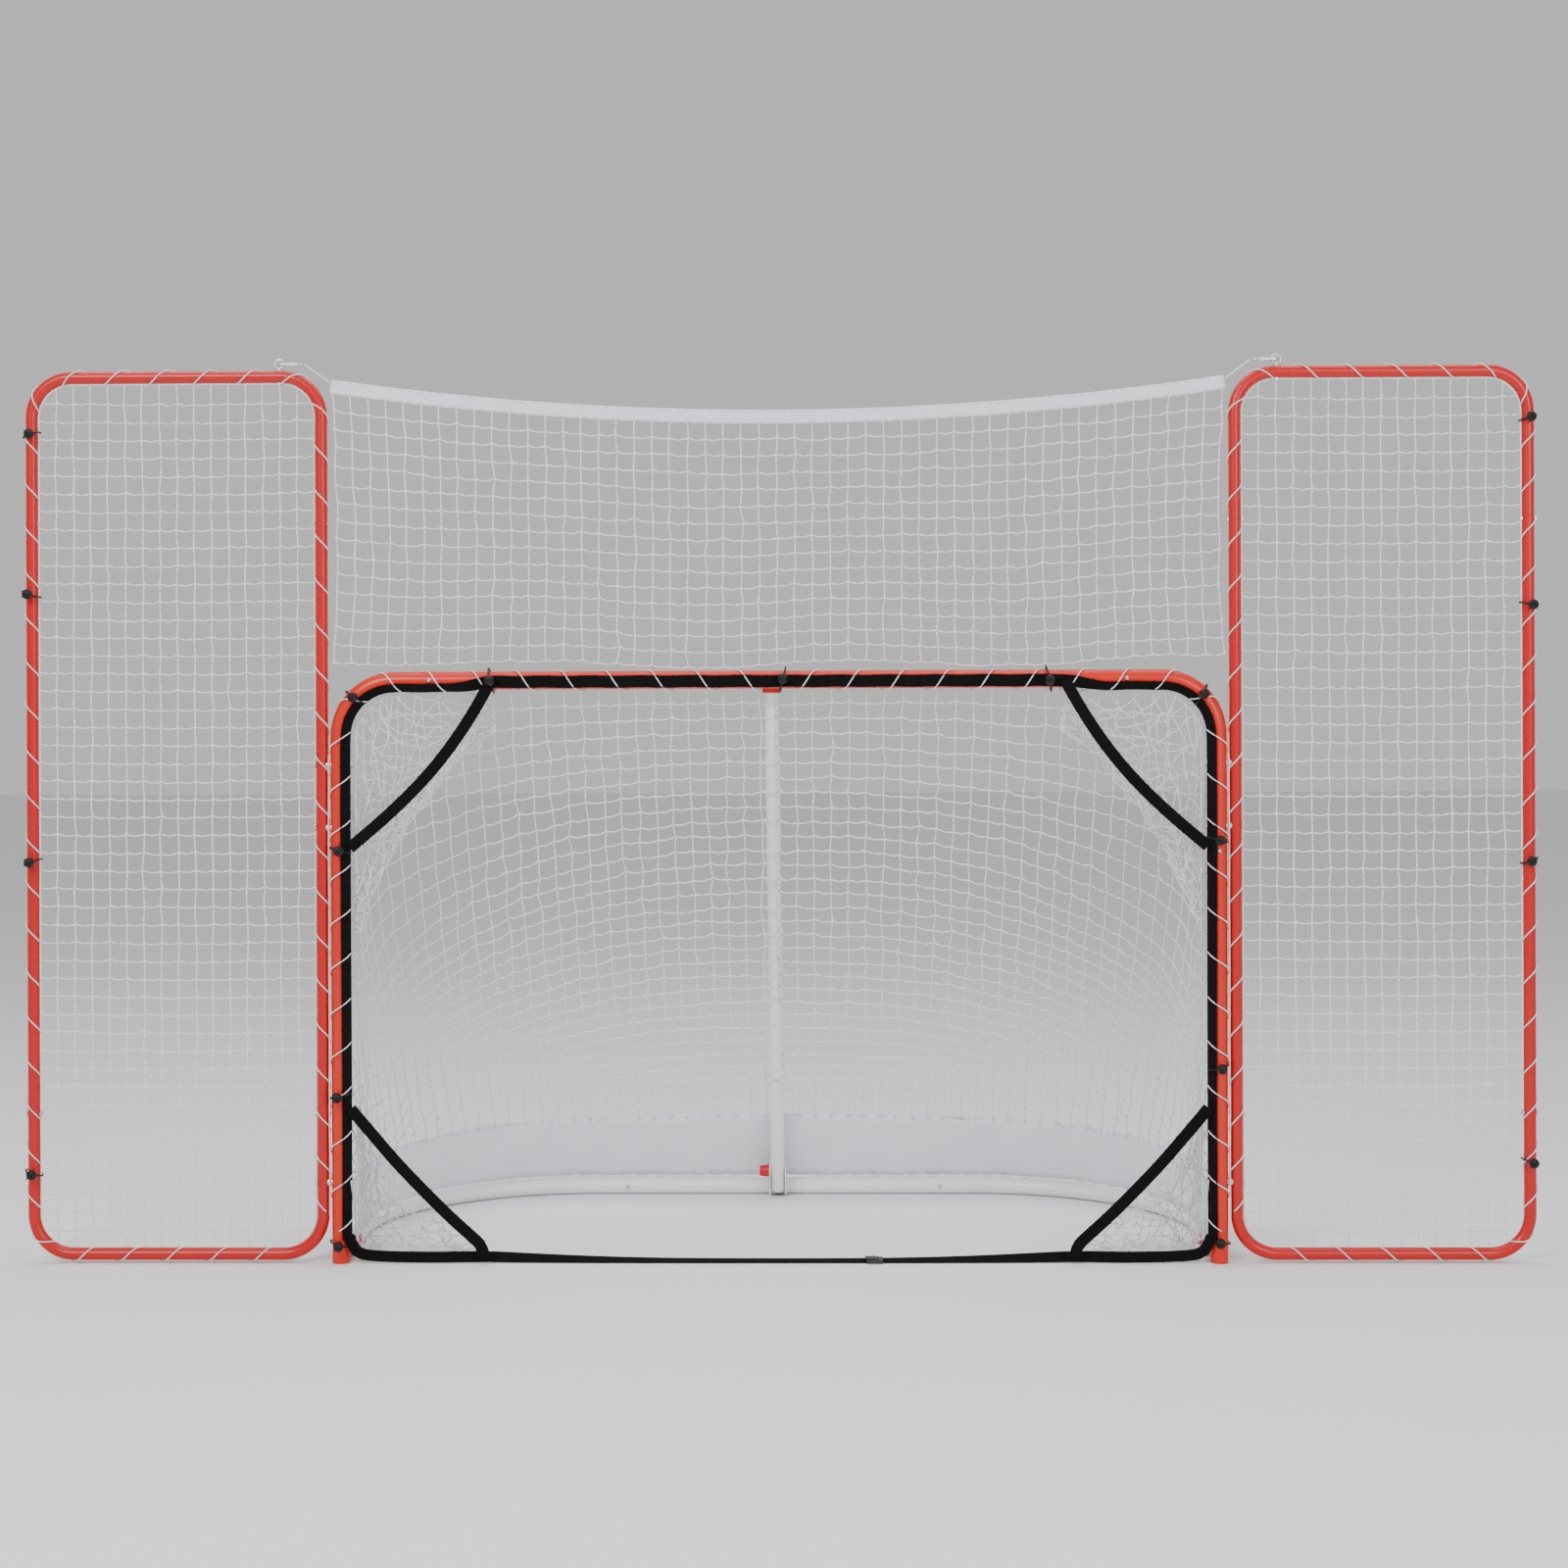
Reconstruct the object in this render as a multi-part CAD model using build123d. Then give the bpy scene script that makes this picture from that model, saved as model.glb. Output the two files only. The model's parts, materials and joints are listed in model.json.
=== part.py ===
"""Street-hockey goal with a folding base, two backstop wings, nets and corner target pockets.

X runs across the goal, Y from the shooter towards the back, Z up, and the floor is Z = 0.
Lengths are in millimetres. Inside this file the posts stand in the plane Y = 0, and save() moves
every piece by GOAL_Y so that the origin is the middle of the whole footprint.
"""

import os
from math import atan2, cos, degrees, pi, radians, sin, tan

from build123d import *

os.makedirs("parts", exist_ok=True)

# ---- driving dimensions -------------------------------------------------------------------------
GOAL_Y = -358.6  # where the posts' plane lies from the middle of the footprint

MOUTH_W, MOUTH_H = 1828.8, 1219.2  # clear opening, 72 by 48 inches
TUBE, WALL = 38.1, 1.2  # goal and base tube
CORNER_R = 118.0  # centreline radius of the frame's top corners
CROSSBAR_SEAM, POST_SEAM = 765.0, 898.0  # where the elbows meet the crossbar and the lower posts
NECK, SLIP = 60.0, 0.1  # reduced end that slides into the next tube, and its clearance

BASE_DEPTH, BASE_R, BASE_SEAM = 743.0, 480.0, 401.0
HINGE_Y, HINGE_Z = 120.0, TUBE / 2

WING_W, WING_TUBE, WING_TOP, WING_FOOT = 645.0, 25.4, 1900.0, 4.8
WING_R, WING_GAP = 85.0, 5.5
WING_SEAMS = 347.0, 1537.0  # heights where the uprights meet the bends
WING_NECK = 50.0

BRACE_X = -13.5  # the brace stands a little to the left of the middle
BRACE_TOP = 42.0, 1222.0  # Y and Z of its pivot behind the crossbar
BRACE_FOOT = 706.0, 20.0
BRACE_R, SLEEVE_R = 15.0, 16.5
SLEEVE_SEAM = 0.738  # share of the brace's length above the sleeve
BRACE_INSIDE = 50.0
PIN_UP = 52.7  # from the brace's foot to the plunger, along the brace

SHEET = 3.0  # thickness of the plain solids that stand for nets and cloth
WEB, WEB_T = 25.0, 2.2
LACE_R = 1.5
SKIRT_TOP = 214.0
BUCKLE_X = 200.0

POST_X = MOUTH_W / 2 + TUBE / 2
BAR_Z = MOUTH_H + TUBE / 2
WING_IN = POST_X + TUBE / 2 + WING_GAP + WING_TUBE / 2
WING_OUT = WING_IN + WING_W - WING_TUBE
WING_LOW, WING_HIGH = WING_FOOT + WING_TUBE / 2, WING_TOP - WING_TUBE / 2
SIDES = {"left": -1, "right": 1}

made = {}


def save(name, *solids):
    """Writes one node: one solid, or a group of separate ones."""
    moved = [Pos(0, GOAL_Y, 0) * s for s in solids]
    shape = moved[0] if len(moved) == 1 else Compound(children=moved)
    shape.label = name
    made[name] = shape
    export_step(shape, f"parts/{name}.step")


# ---- shapes used again and again ----------------------------------------------------------------
def rod(a, b, r):
    """A round bar between two points."""
    a, b = Vector(*a), Vector(*b)
    return extrude(Plane(origin=a, z_dir=b - a) * Circle(r), amount=(b - a).length)


def tube(a, b, outer, wall=WALL):
    """A straight round tube between two points."""
    a, b = Vector(*a), Vector(*b)
    ring = Circle(outer / 2) - Circle(outer / 2 - wall)
    return extrude(Plane(origin=a, z_dir=b - a) * ring, amount=(b - a).length)


def bent_tube(points, bend_r, outer, wall=WALL):
    """A round tube whose centreline turns through the points with one bend radius."""
    path = FilletPolyline(*points, radius=bend_r)
    ring = Circle(outer / 2) - Circle(outer / 2 - wall)
    return sweep(Plane(origin=path @ 0, z_dir=path % 0) * ring, path=path)


def neck(end, way, outer, length, wall=WALL):
    """The reduced end of a tube, to be fused to it: it slides into the next tube."""
    end, way = Vector(*end), Vector(*way)
    r, collar = outer / 2 - wall - SLIP, 12.0
    solid = rod(end - way * collar, end + way * length, r)
    solid += rod(end - way * collar, end, outer / 2 - wall / 2)
    return solid - rod(end - way * (collar + 1), end + way * (length + 1), r - wall)


def hexagon(at, way, across, height):
    """A hexagonal head or nut blank."""
    flat = RegularPolygon(across / 2, 6, major_radius=False)
    return extrude(Plane(origin=Vector(*at), z_dir=Vector(*way)) * flat, amount=height)


def bolt(head_at, tip, r, across, height):
    """A hex bolt: its head lies behind head_at and its shank ends at tip."""
    back = Vector(*head_at) - Vector(*tip)
    return rod(head_at, tip, r) + hexagon(head_at, back, across, height)


def nut(at, way, r, across, height):
    far = Vector(*at) + Vector(*way) * (height + 1)
    near = Vector(*at) - Vector(*way)
    return hexagon(at, way, across, height) - rod(near, far, r + 0.05)


def button_screw(at, way, head_r, head_h, r, depth):
    """A low domed screw: way points out of the surface at at."""
    at, way = Vector(*at), Vector(*way)
    head = extrude(Plane(origin=at, z_dir=way) * Circle(head_r), amount=head_h, taper=35)
    return head + rod(at - way * depth, at, r)


def plate_x(points_yz, x0, x1):
    """A flat plate outlined in Y and Z, between two values of X."""
    face = Plane(origin=(x0, 0, 0), x_dir=(0, 1, 0), z_dir=(1, 0, 0)) * Polygon(*points_yz, align=None)
    return extrude(face, amount=x1 - x0, dir=(1, 0, 0))


def plate_y(points_xz, y0, y1):
    """A flat plate outlined in X and Z, between two values of Y."""
    face = Plane(origin=(0, y1, 0), x_dir=(1, 0, 0), z_dir=(0, -1, 0)) * Polygon(*points_xz, align=None)
    return extrude(face, amount=y1 - y0, dir=(0, -1, 0))


def block(x, y, z):
    """A box between the two limits given for each axis."""
    middle = [(a + b) / 2 for a, b in (x, y, z)]
    return Pos(*middle) * Box(x[1] - x[0], y[1] - y[0], z[1] - z[0])


def slab(points, thick=SHEET):
    """A thin flat solid on coplanar points."""
    return extrude(make_face(Polyline(*points, close=True)), amount=thick / 2, both=True)


def cord(points, r):
    """A round cord along the points, with each corner rounded as far as its runs allow."""
    points = [Vector(p) for p in points]
    radii = []
    for a, b, c in zip(points, points[1:], points[2:]):
        turn = radians((b - a).get_angle(c - b))
        radii.append(0.45 * min((b - a).length, (c - b).length) / tan(turn / 2))
    path = FilletPolyline(*points, radius=radii)
    return sweep(Plane(origin=path @ 0, z_dir=path % 0) * Circle(r), path=path)


def around(tube_r, per_turn=4):
    """How far from a tube's axis a cord's corner points stand, so that its runs clear the tube."""
    return (tube_r + LACE_R + 0.35) / cos(pi / per_turn)


def wraps(path, side_way, reach, pitch, phase=0.0, outside=None, hand=1, per_turn=4):
    """Points that wind round a path, reach away from it. The hand is 1 or -1. Where they come
    to the path's outside they may stay closer."""
    count = round(path.length / pitch * per_turn)
    points = []
    for i in range(count + 1):
        turn = i / per_turn + phase
        share = min(1.0, i * pitch / per_turn / path.length)
        along, across = path % share, Vector(*side_way)
        other = along.cross(across) * hand
        at_side = abs((turn - 0.25 if hand > 0 else turn + 0.25) % 1 - 0.5) < 0.05
        far = outside if outside and at_side else reach
        a = 2 * pi * turn
        points.append(path @ share + across * (far * cos(a)) + other * (far * sin(a)))
    return points


# ---- the goal's front frame ---------------------------------------------------------------------
MOUNT_HEIGHTS = 171.0, 926.0, 1059.0  # bolts that hold each wing to its post
MOUNT_R = 4.0
SCREW_R = 2.5
CROSSBAR_SCREW, POST_SCREW = 740.0, 873.0


def front_frame():
    bar = tube((-CROSSBAR_SEAM, 0, BAR_Z), (CROSSBAR_SEAM, 0, BAR_Z), TUBE)
    screws = []
    for s in (-1, 1):
        x = s * CROSSBAR_SCREW
        bar -= rod((x, -TUBE, BAR_Z), (x, 0, BAR_Z), SCREW_R + SLIP)
        screws.append(button_screw((x, -TUBE / 2 - 0.02, BAR_Z), (0, -1, 0), 5.5, 3.2, SCREW_R, 12))
    save("crossbar_tube", bar)

    for side, s in SIDES.items():
        x = s * POST_X
        corner = [(s * CROSSBAR_SEAM, 0, BAR_Z), (x, 0, BAR_Z), (x, 0, POST_SEAM)]
        elbow = bent_tube(corner, CORNER_R, TUBE)
        elbow += neck(corner[0], (-s, 0, 0), TUBE, NECK)
        elbow += neck(corner[2], (0, 0, -1), TUBE, NECK)
        post = tube((x, 0, 0), (x, 0, POST_SEAM), TUBE)
        for z in MOUNT_HEIGHTS:
            hole = rod((x - 30, 0, z), (x + 30, 0, z), MOUNT_R + SLIP)
            elbow, post = (elbow - hole, post) if z > POST_SEAM else (elbow, post - hole)
        elbow -= rod((s * CROSSBAR_SCREW, -TUBE, BAR_Z), (s * CROSSBAR_SCREW, 0, BAR_Z), SCREW_R + SLIP)
        seam_hole = rod((x, -TUBE, POST_SCREW), (x, 0, POST_SCREW), SCREW_R + SLIP)
        save(f"corner_elbow_{side}", elbow - seam_hole)
        save(f"post_lower_{side}", post - seam_hole)
        screws.append(button_screw((x, -TUBE / 2 - 0.02, POST_SCREW), (0, -1, 0), 5.5, 3.2, SCREW_R, 12))
    save("frame_screws", *screws)

    plugs = [
        rod((s * POST_X, 0, 0), (s * POST_X, 0, 18), TUBE / 2 - WALL - SLIP)
        - rod((s * POST_X, 0, 3), (s * POST_X, 0, 19), TUBE / 2 - WALL - 3)
        for s in (-1, 1)
    ]
    save("post_foot_plugs", *plugs)


# ---- hinge brackets behind the posts' feet ------------------------------------------------------
PIVOT_R = 4.0
FORK_IN, FORK_T = TUBE / 2 + 0.6, 3.0


def hinge_brackets():
    bolts = []
    for side, s in SIDES.items():
        x = s * POST_X
        stub = tube((x, 0, HINGE_Z), (x, 94, HINGE_Z), TUBE)
        bracket = stub - rod((x, 0, -1), (x, 0, 60), TUBE / 2)
        for k in (-1, 1):
            a, b = sorted((x + k * FORK_IN, x + k * (FORK_IN + FORK_T)))
            low, high = HINGE_Z - 17, HINGE_Z + 17
            cheek = plate_x([(60, low), (HINGE_Y, low), (HINGE_Y, high), (60, high)], a, b)
            cheek += rod((a, HINGE_Y, HINGE_Z), (b, HINGE_Y, HINGE_Z), 17)
            p, q = sorted((x + k * 16.5, x + k * FORK_IN))
            bracket += cheek + block((p, q), (64, 92), (HINGE_Z - 8, HINGE_Z + 8))
        bracket -= rod((x, 50, HINGE_Z), (x, 95, HINGE_Z), TUBE / 2 - WALL)
        bracket -= rod((x - 40, HINGE_Y, HINGE_Z), (x + 40, HINGE_Y, HINGE_Z), PIVOT_R + 0.05)
        save(f"hinge_bracket_{side}", bracket)
        out = FORK_IN + FORK_T + 0.1
        head, tip = (x + s * out, HINGE_Y, HINGE_Z), (x - s * (out + 9), HINGE_Y, HINGE_Z)
        bolts += [bolt(head, tip, PIVOT_R, 13, 5), nut((x - s * out, HINGE_Y, HINGE_Z), (-s, 0, 0), PIVOT_R, 13, 6.5)]
    save("hinge_pivot_bolts", *bolts)


# ---- the base that folds up -----------------------------------------------------------------------
BASE_SCREW = 375.0


def base_path(s):
    """Centreline of one base bend, from the seam to its hinge end."""
    x, z = s * POST_X, HINGE_Z
    corner = [(s * BASE_SEAM, BASE_DEPTH, z), (x, BASE_DEPTH, z), (x, HINGE_Y - 19, z)]
    return FilletPolyline(*corner, radius=BASE_R)


def base_frame():
    middle = tube((-BASE_SEAM, BASE_DEPTH, HINGE_Z), (BASE_SEAM, BASE_DEPTH, HINGE_Z), TUBE)
    screws = []
    front = BASE_DEPTH - TUBE / 2
    for side, s in SIDES.items():
        x = s * POST_X
        path = base_path(s)
        ring = Circle(TUBE / 2) - Circle(TUBE / 2 - WALL)
        bend = sweep(Plane(origin=path @ 0, z_dir=path % 0) * ring, path=path)
        bend += neck((s * BASE_SEAM, BASE_DEPTH, HINGE_Z), (-s, 0, 0), TUBE, NECK)
        eye = rod((x - 20, HINGE_Y, HINGE_Z), (x + 20, HINGE_Y, HINGE_Z), 18.6)
        bend -= block((x - 20, x + 20), (HINGE_Y - 20, HINGE_Y), (-1, 40)) - eye
        bend -= rod((x - 20, HINGE_Y, HINGE_Z), (x + 20, HINGE_Y, HINGE_Z), PIVOT_R + SLIP)
        hole = rod((s * BASE_SCREW, front - 2, HINGE_Z), (s * BASE_SCREW, BASE_DEPTH, HINGE_Z), SCREW_R + SLIP)
        save(f"base_bend_{side}", bend - hole)
        middle -= hole
        screws.append(button_screw((s * BASE_SCREW, front - 0.02, HINGE_Z), (0, -1, 0), 5.5, 3.2, SCREW_R, 12))
    save("base_center_tube", middle)
    save("base_screws", *screws)


# ---- the centre brace ------------------------------------------------------------------------------
RISE = Vector(0, BRACE_TOP[0] - BRACE_FOOT[0], BRACE_TOP[1] - BRACE_FOOT[1])
UP = RISE.normalized()
TOP = Vector(BRACE_X, *BRACE_TOP)
FOOT = Vector(BRACE_X, *BRACE_FOOT)
PIN = FOOT + UP * PIN_UP
SEAM = TOP - UP * (RISE.length * SLEEVE_SEAM)
SQUARE = Vector(0, -UP.Z, UP.Y)  # square to the brace, pointing towards the shooter and down


def brace():
    upper = tube(TOP + UP * 14, SEAM - UP * BRACE_INSIDE, 2 * BRACE_R)
    upper -= rod(TOP - Vector(20, 0, 0), TOP + Vector(20, 0, 0), PIVOT_R + SLIP)
    save("brace_upper_tube", upper)

    sleeve = tube(SEAM, FOOT, 2 * SLEEVE_R)
    sleeve += rod(FOOT, FOOT + UP * 4, SLEEVE_R - WALL / 2)
    sleeve -= rod(PIN - Vector(20, 0, 0), PIN + Vector(20, 0, 0), 4.3)
    at = SEAM - UP * 24 + SQUARE * SLEEVE_R
    sleeve -= rod(at - SQUARE * 6, at + SQUARE, 2.6)
    save("brace_lower_sleeve", sleeve)
    save("brace_clamp_screw", button_screw(at + SQUARE * 0.02, SQUARE, 5, 3, 2.5, WALL))

    inner, t = BRACE_R + 0.5, 3.0
    y, z = BRACE_TOP
    bracket = block((BRACE_X - inner - t, BRACE_X + inner + t), (12, 22), (z - 12, BAR_Z + 16))
    for k in (-1, 1):
        a, b = sorted((BRACE_X + k * inner, BRACE_X + k * (inner + t)))
        bracket += plate_x([(12, z - 12), (y, z - 12), (y, z + 12), (12, BAR_Z + 16)], a, b)
        bracket += rod((a, y, z), (b, y, z), 12)
    bracket -= rod((BRACE_X - 30, 0, BAR_Z), (BRACE_X + 30, 0, BAR_Z), TUBE / 2)
    bracket -= rod((BRACE_X - 30, y, z), (BRACE_X + 30, y, z), PIVOT_R + 0.05)
    save("brace_top_bracket", bracket)
    out = inner + t + 0.1
    pivot = bolt((BRACE_X + out, y, z), (BRACE_X - out - 9, y, z), PIVOT_R, 13, 5)
    save("brace_pivot_bolt", pivot, nut((BRACE_X - out, y, z), (-1, 0, 0), PIVOT_R, 13, 6.5))


EAR_IN, EAR_T = SLEEVE_R + 0.5, 3.0
PULL = 12.0


def brace_latch():
    """The bracket on the base that holds the brace's foot, and its spring plunger with a red knob."""
    axis = (0, BASE_DEPTH, HINGE_Z)
    outside = EAR_IN + EAR_T
    lap = rod((BRACE_X - outside, *axis[1:]), (BRACE_X + outside, *axis[1:]), TUBE / 2 + 3)
    lap &= block((BRACE_X - outside, BRACE_X + outside), (700, BASE_DEPTH + 6), (2, 60))
    bracket = lap
    back = PIN - SQUARE * 20
    ear = [(700, 5), (726, 3), (BASE_DEPTH, 41), (back.Y, back.Z + 14), (PIN.Y - 2, PIN.Z + 17)]
    ear += [(PIN.Y - 16, PIN.Z + 6), (PIN.Y - 12, PIN.Z - 10), (690, 20)]
    for k in (-1, 1):
        a, b = sorted((BRACE_X + k * EAR_IN, BRACE_X + k * outside))
        bracket += plate_x(ear, a, b)
    bracket -= rod((BRACE_X - 60, *axis[1:]), (BRACE_X + 60, *axis[1:]), TUBE / 2)
    bore_end = BRACE_X - outside - 7
    barrel = rod((BRACE_X - outside + 1, PIN.Y, PIN.Z), (bore_end, PIN.Y, PIN.Z), 8)
    bracket += barrel
    bracket -= rod((BRACE_X - 60, PIN.Y, PIN.Z), (BRACE_X + 60, PIN.Y, PIN.Z), 4.05)
    save("brace_foot_bracket", bracket)

    # the knob is a cup over the barrel, and holds the stem at its closed end
    near, cup = BRACE_X - outside - 0.6, bore_end - 0.6
    stem = rod((cup - 6, PIN.Y, PIN.Z), (BRACE_X - 5, PIN.Y, PIN.Z), 4.0)
    save("latch_plunger", stem)
    knob = extrude(Plane(origin=(near, PIN.Y, PIN.Z), z_dir=(-1, 0, 0)) * Circle(15), amount=22.5, taper=7)
    knob -= rod((near + 1, PIN.Y, PIN.Z), (cup, PIN.Y, PIN.Z), 8.4)
    save("latch_knob", knob - rod((cup + 1, PIN.Y, PIN.Z), (cup - 6, PIN.Y, PIN.Z), 4.0))


# ---- backstop wings ---------------------------------------------------------------------------------
WING_BOLT_R = 3.0
WING_BOLTS = WING_SEAMS[0] - 30, WING_SEAMS[1] + 37
EYE_X, EYE_R = 1060.0, 3.0


def wings():
    hardware, mounts, spacers, eyes, eye_nuts = [], [], [], [], []
    for side, s in SIDES.items():
        a, b = s * WING_IN, s * WING_OUT
        bends = {}
        for place, seam, level in (("bottom", WING_SEAMS[0], WING_LOW), ("top", WING_SEAMS[1], WING_HIGH)):
            bends[place] = bent_tube([(a, 0, seam), (a, 0, level), (b, 0, level), (b, 0, seam)], WING_R, WING_TUBE)
        uprights = {}
        for place, x in (("inner", a), ("outer", b)):
            post = tube((x, 0, WING_SEAMS[0]), (x, 0, WING_SEAMS[1]), WING_TUBE)
            post += neck((x, 0, WING_SEAMS[0]), (0, 0, -1), WING_TUBE, WING_NECK)
            post += neck((x, 0, WING_SEAMS[1]), (0, 0, 1), WING_TUBE, WING_NECK)
            for z, bend in zip(WING_BOLTS, ("bottom", "top")):
                hole = rod((x - 20, 0, z), (x + 20, 0, z), WING_BOLT_R + SLIP)
                post -= hole
                bends[bend] -= hole
                face, way = WING_TUBE / 2 + 0.05, -s if place == "outer" else s
                hardware.append(bolt((x - way * face, 0, z), (x + way * (face + 6.2), 0, z), WING_BOLT_R, 10, 4))
                hardware.append(nut((x + way * face, 0, z), (way, 0, 0), WING_BOLT_R, 10, 5))
            uprights[place] = post
        for z in MOUNT_HEIGHTS:
            hole = rod((a - 20, 0, z), (a + 20, 0, z), MOUNT_R + SLIP)
            if z < WING_SEAMS[0]:
                bends["bottom"] -= hole
            else:
                uprights["inner"] -= hole
            head, inner = a + s * (WING_TUBE / 2 + 0.05), s * (MOUTH_W / 2 - 0.05)
            mounts.append(bolt((head, 0, z), (inner - s * 9, 0, z), MOUNT_R, 13, 5))
            mounts.append(nut((inner, 0, z), (-s, 0, 0), MOUNT_R, 13, 6.5))
            ring = rod((s * (POST_X + 12), 0, z), (a, 0, z), 9) - hole
            ring -= rod((s * POST_X, 0, z), (s * POST_X + s * 40, 0, z), MOUNT_R + SLIP)
            ring -= rod((s * POST_X, 0, z - 20), (s * POST_X, 0, z + 20), TUBE / 2)
            spacers.append(ring - rod((a, 0, z - 20), (a, 0, z + 20), WING_TUBE / 2))
        eye_hole = rod((s * EYE_X, 0, WING_HIGH - 20), (s * EYE_X, 0, WING_HIGH + 20), EYE_R + SLIP)
        bends["top"] -= eye_hole
        centre = (s * EYE_X, 0, WING_TOP + 14)
        shank = rod((s * EYE_X, 0, WING_TOP - WING_TUBE - 6.3), (s * EYE_X, 0, WING_TOP + 4), EYE_R)
        ring = Plane(origin=centre, x_dir=(1, 0, 0), z_dir=(0, -1, 0)) * Torus(9.5, 2.5)
        eyes.append(shank + ring)
        low = (s * EYE_X, 0, WING_TOP - WING_TUBE - 0.05)
        eye_nuts.append(nut(low, (0, 0, -1), EYE_R, 10, 5))
        for place, shape in bends.items():
            save(f"wing_{side}_{place}_bend", shape)
        for place, shape in uprights.items():
            save(f"wing_{side}_{place}_upright", shape)
    save("wing_joint_bolts", *hardware)
    save("wing_mount_bolts", *mounts)
    save("wing_spacers", *spacers)
    save("eye_bolts", *eyes, *eye_nuts)


# ---- snap hooks that stretch the top hem ------------------------------------------------------------
SNAP_Z = WING_TOP + 14
SNAP_FAR = EYE_X - 44


def snap_hooks():
    """Each hook is a flat oval of wire, closed by a gate that turns inwards."""
    hooks = []
    for side, s in SIDES.items():
        middle = s * (EYE_X - 20)
        ring = extrude(SlotOverall(46, 16), 2, both=True) - extrude(SlotOverall(40, 10), 3, both=True)
        oval = Pos(middle, 0, SNAP_Z) * ring
        gap = block(sorted((s * (EYE_X - 12), s * (EYE_X - 33))), (-9, -4.5), (SNAP_Z - 3, SNAP_Z + 3))
        eye = Pos(s * (SNAP_FAR - 3), 0, SNAP_Z) * (extrude(Circle(6), 2, both=True) - extrude(Circle(3), 3, both=True))
        pin_at = (s * (EYE_X - 31), -6.5)
        pin = rod((*pin_at, SNAP_Z - 3), (*pin_at, SNAP_Z + 3), 1.0)
        ears = block(sorted((s * (EYE_X - 28), s * (EYE_X - 36))), (-8, -5), (SNAP_Z - 3.2, SNAP_Z + 3.2))
        ears -= block(sorted((s * (EYE_X - 27), s * (EYE_X - 33.2))), (-9, -4), (SNAP_Z - 2.1, SNAP_Z + 2.1))
        hooks.append(oval - gap + eye + pin + ears)
        gate = block(sorted((s * (EYE_X - 13), s * (EYE_X - 31))), (-8, -5), (SNAP_Z - 2, SNAP_Z + 2))
        gate += rod((*pin_at, SNAP_Z - 2), (*pin_at, SNAP_Z + 2), 1.5)
        save(f"snap_gate_{side}", gate - rod((*pin_at, SNAP_Z - 3), (*pin_at, SNAP_Z + 3), 1.05))
    save("snap_hooks", *hooks)


# ---- nets and skirt ------------------------------------------------------------------------------------
NET_TOP = 24.0, 1222.0
NET_LOW_Z = 52.0
NET_X = 905.0


def net_side(s):
    """The flat facets of one side of the goal net, from the frame to the base's curve."""
    bend = BASE_R * sin(pi / 4)
    y, z = NET_TOP
    a1, a2 = (s * 453, y, z), (s * 845, y, z)
    c1, c0 = (s * NET_X, y, 1085), (s * NET_X, y, NET_LOW_Z)
    b1 = (s * 453, BASE_DEPTH, NET_LOW_Z)
    b2 = (s * (453 + bend), BASE_DEPTH - BASE_R + bend, NET_LOW_Z)
    b3 = (s * (NET_X + 14), BASE_DEPTH - BASE_R, NET_LOW_Z)
    facets = [(a1, a2, b2), (a1, b2, b1), (a2, c1, b2), (c1, b3, b2), (c1, c0, b3)]
    whole = slab(facets[0])
    for facet in facets[1:]:
        whole += slab(facet)
    return whole


def goal_net():
    above = block((-1000, 1000), (-10, 800), (SKIRT_TOP + 4, 1300))
    below = block((-1000, 1000), (-10, 800), (NET_LOW_Z, SKIRT_TOP))
    y, z = NET_TOP
    back = slab([(-452, y, z), (452, y, z), (452, BASE_DEPTH, NET_LOW_Z), (-452, BASE_DEPTH, NET_LOW_Z)])
    back -= rod(TOP, FOOT, 21)
    back -= block((BRACE_X - 28, BRACE_X + 28), (0, 140), (1120, 1260))
    skirt = back - block((BRACE_X - 75, BRACE_X + 26), (600, 800), (0, 100))
    save("goal_net_back", back & above)
    bands = [skirt & below]
    for side, s in SIDES.items():
        half = net_side(s)
        save(f"goal_net_{side}", half & above)
        bands.append(half & below)
    save("skirt", *bands)


EDGE = WING_TUBE / 2 + 7
HEM_SAG, HEM_H = 69.0, 30.0
BACKSTOP_LOW = 1275.0


def backstop_nets():
    for side, s in SIDES.items():
        wide, tall = WING_W - WING_TUBE - 2 * EDGE, WING_HIGH - WING_LOW - 2 * EDGE
        middle = Pos(s * (WING_IN + WING_OUT) / 2, 0, (WING_HIGH + WING_LOW) / 2)
        flat = Plane.XZ * RectangleRounded(wide, tall, 66)
        notch = rod((s * EYE_X, 0, WING_HIGH - 60), (s * EYE_X, 0, WING_HIGH), 9)
        save(f"wing_net_{side}", middle * extrude(flat, amount=SHEET / 2, both=True) - notch)
    x, top = WING_IN - EDGE, WING_HIGH - 6
    sagged = ThreePointArc((x, 0, top - HEM_H - 2), (0, 0, top - HEM_SAG - HEM_H - 2), (-x, 0, top - HEM_H - 2))
    edge = Polyline((-x, 0, top - HEM_H - 2), (-x, 0, BACKSTOP_LOW), (x, 0, BACKSTOP_LOW), (x, 0, top - HEM_H - 2))
    save("backstop_net_upper", extrude(make_face([sagged, edge]), amount=SHEET / 2, both=True))
    arc = ThreePointArc((x, 0, top), (0, 0, top - HEM_SAG), (-x, 0, top))
    low = ThreePointArc((-x, 0, top - HEM_H), (0, 0, top - HEM_SAG - HEM_H), (x, 0, top - HEM_H))
    ends = [Line((-x, 0, top), (-x, 0, top - HEM_H)), Line((x, 0, top - HEM_H), (x, 0, top))]
    save("backstop_hem", extrude(make_face([arc, low, *ends]), amount=WEB_T / 2, both=True))
    ties = []
    for s in (-1, 1):
        start = (s * (SNAP_FAR - 10.3), 0, SNAP_Z)
        ties.append(rod(start, (s * (x + 2.2), 0, top - 6), 2.0))
    save("hem_tie_cords", *ties)


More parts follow.
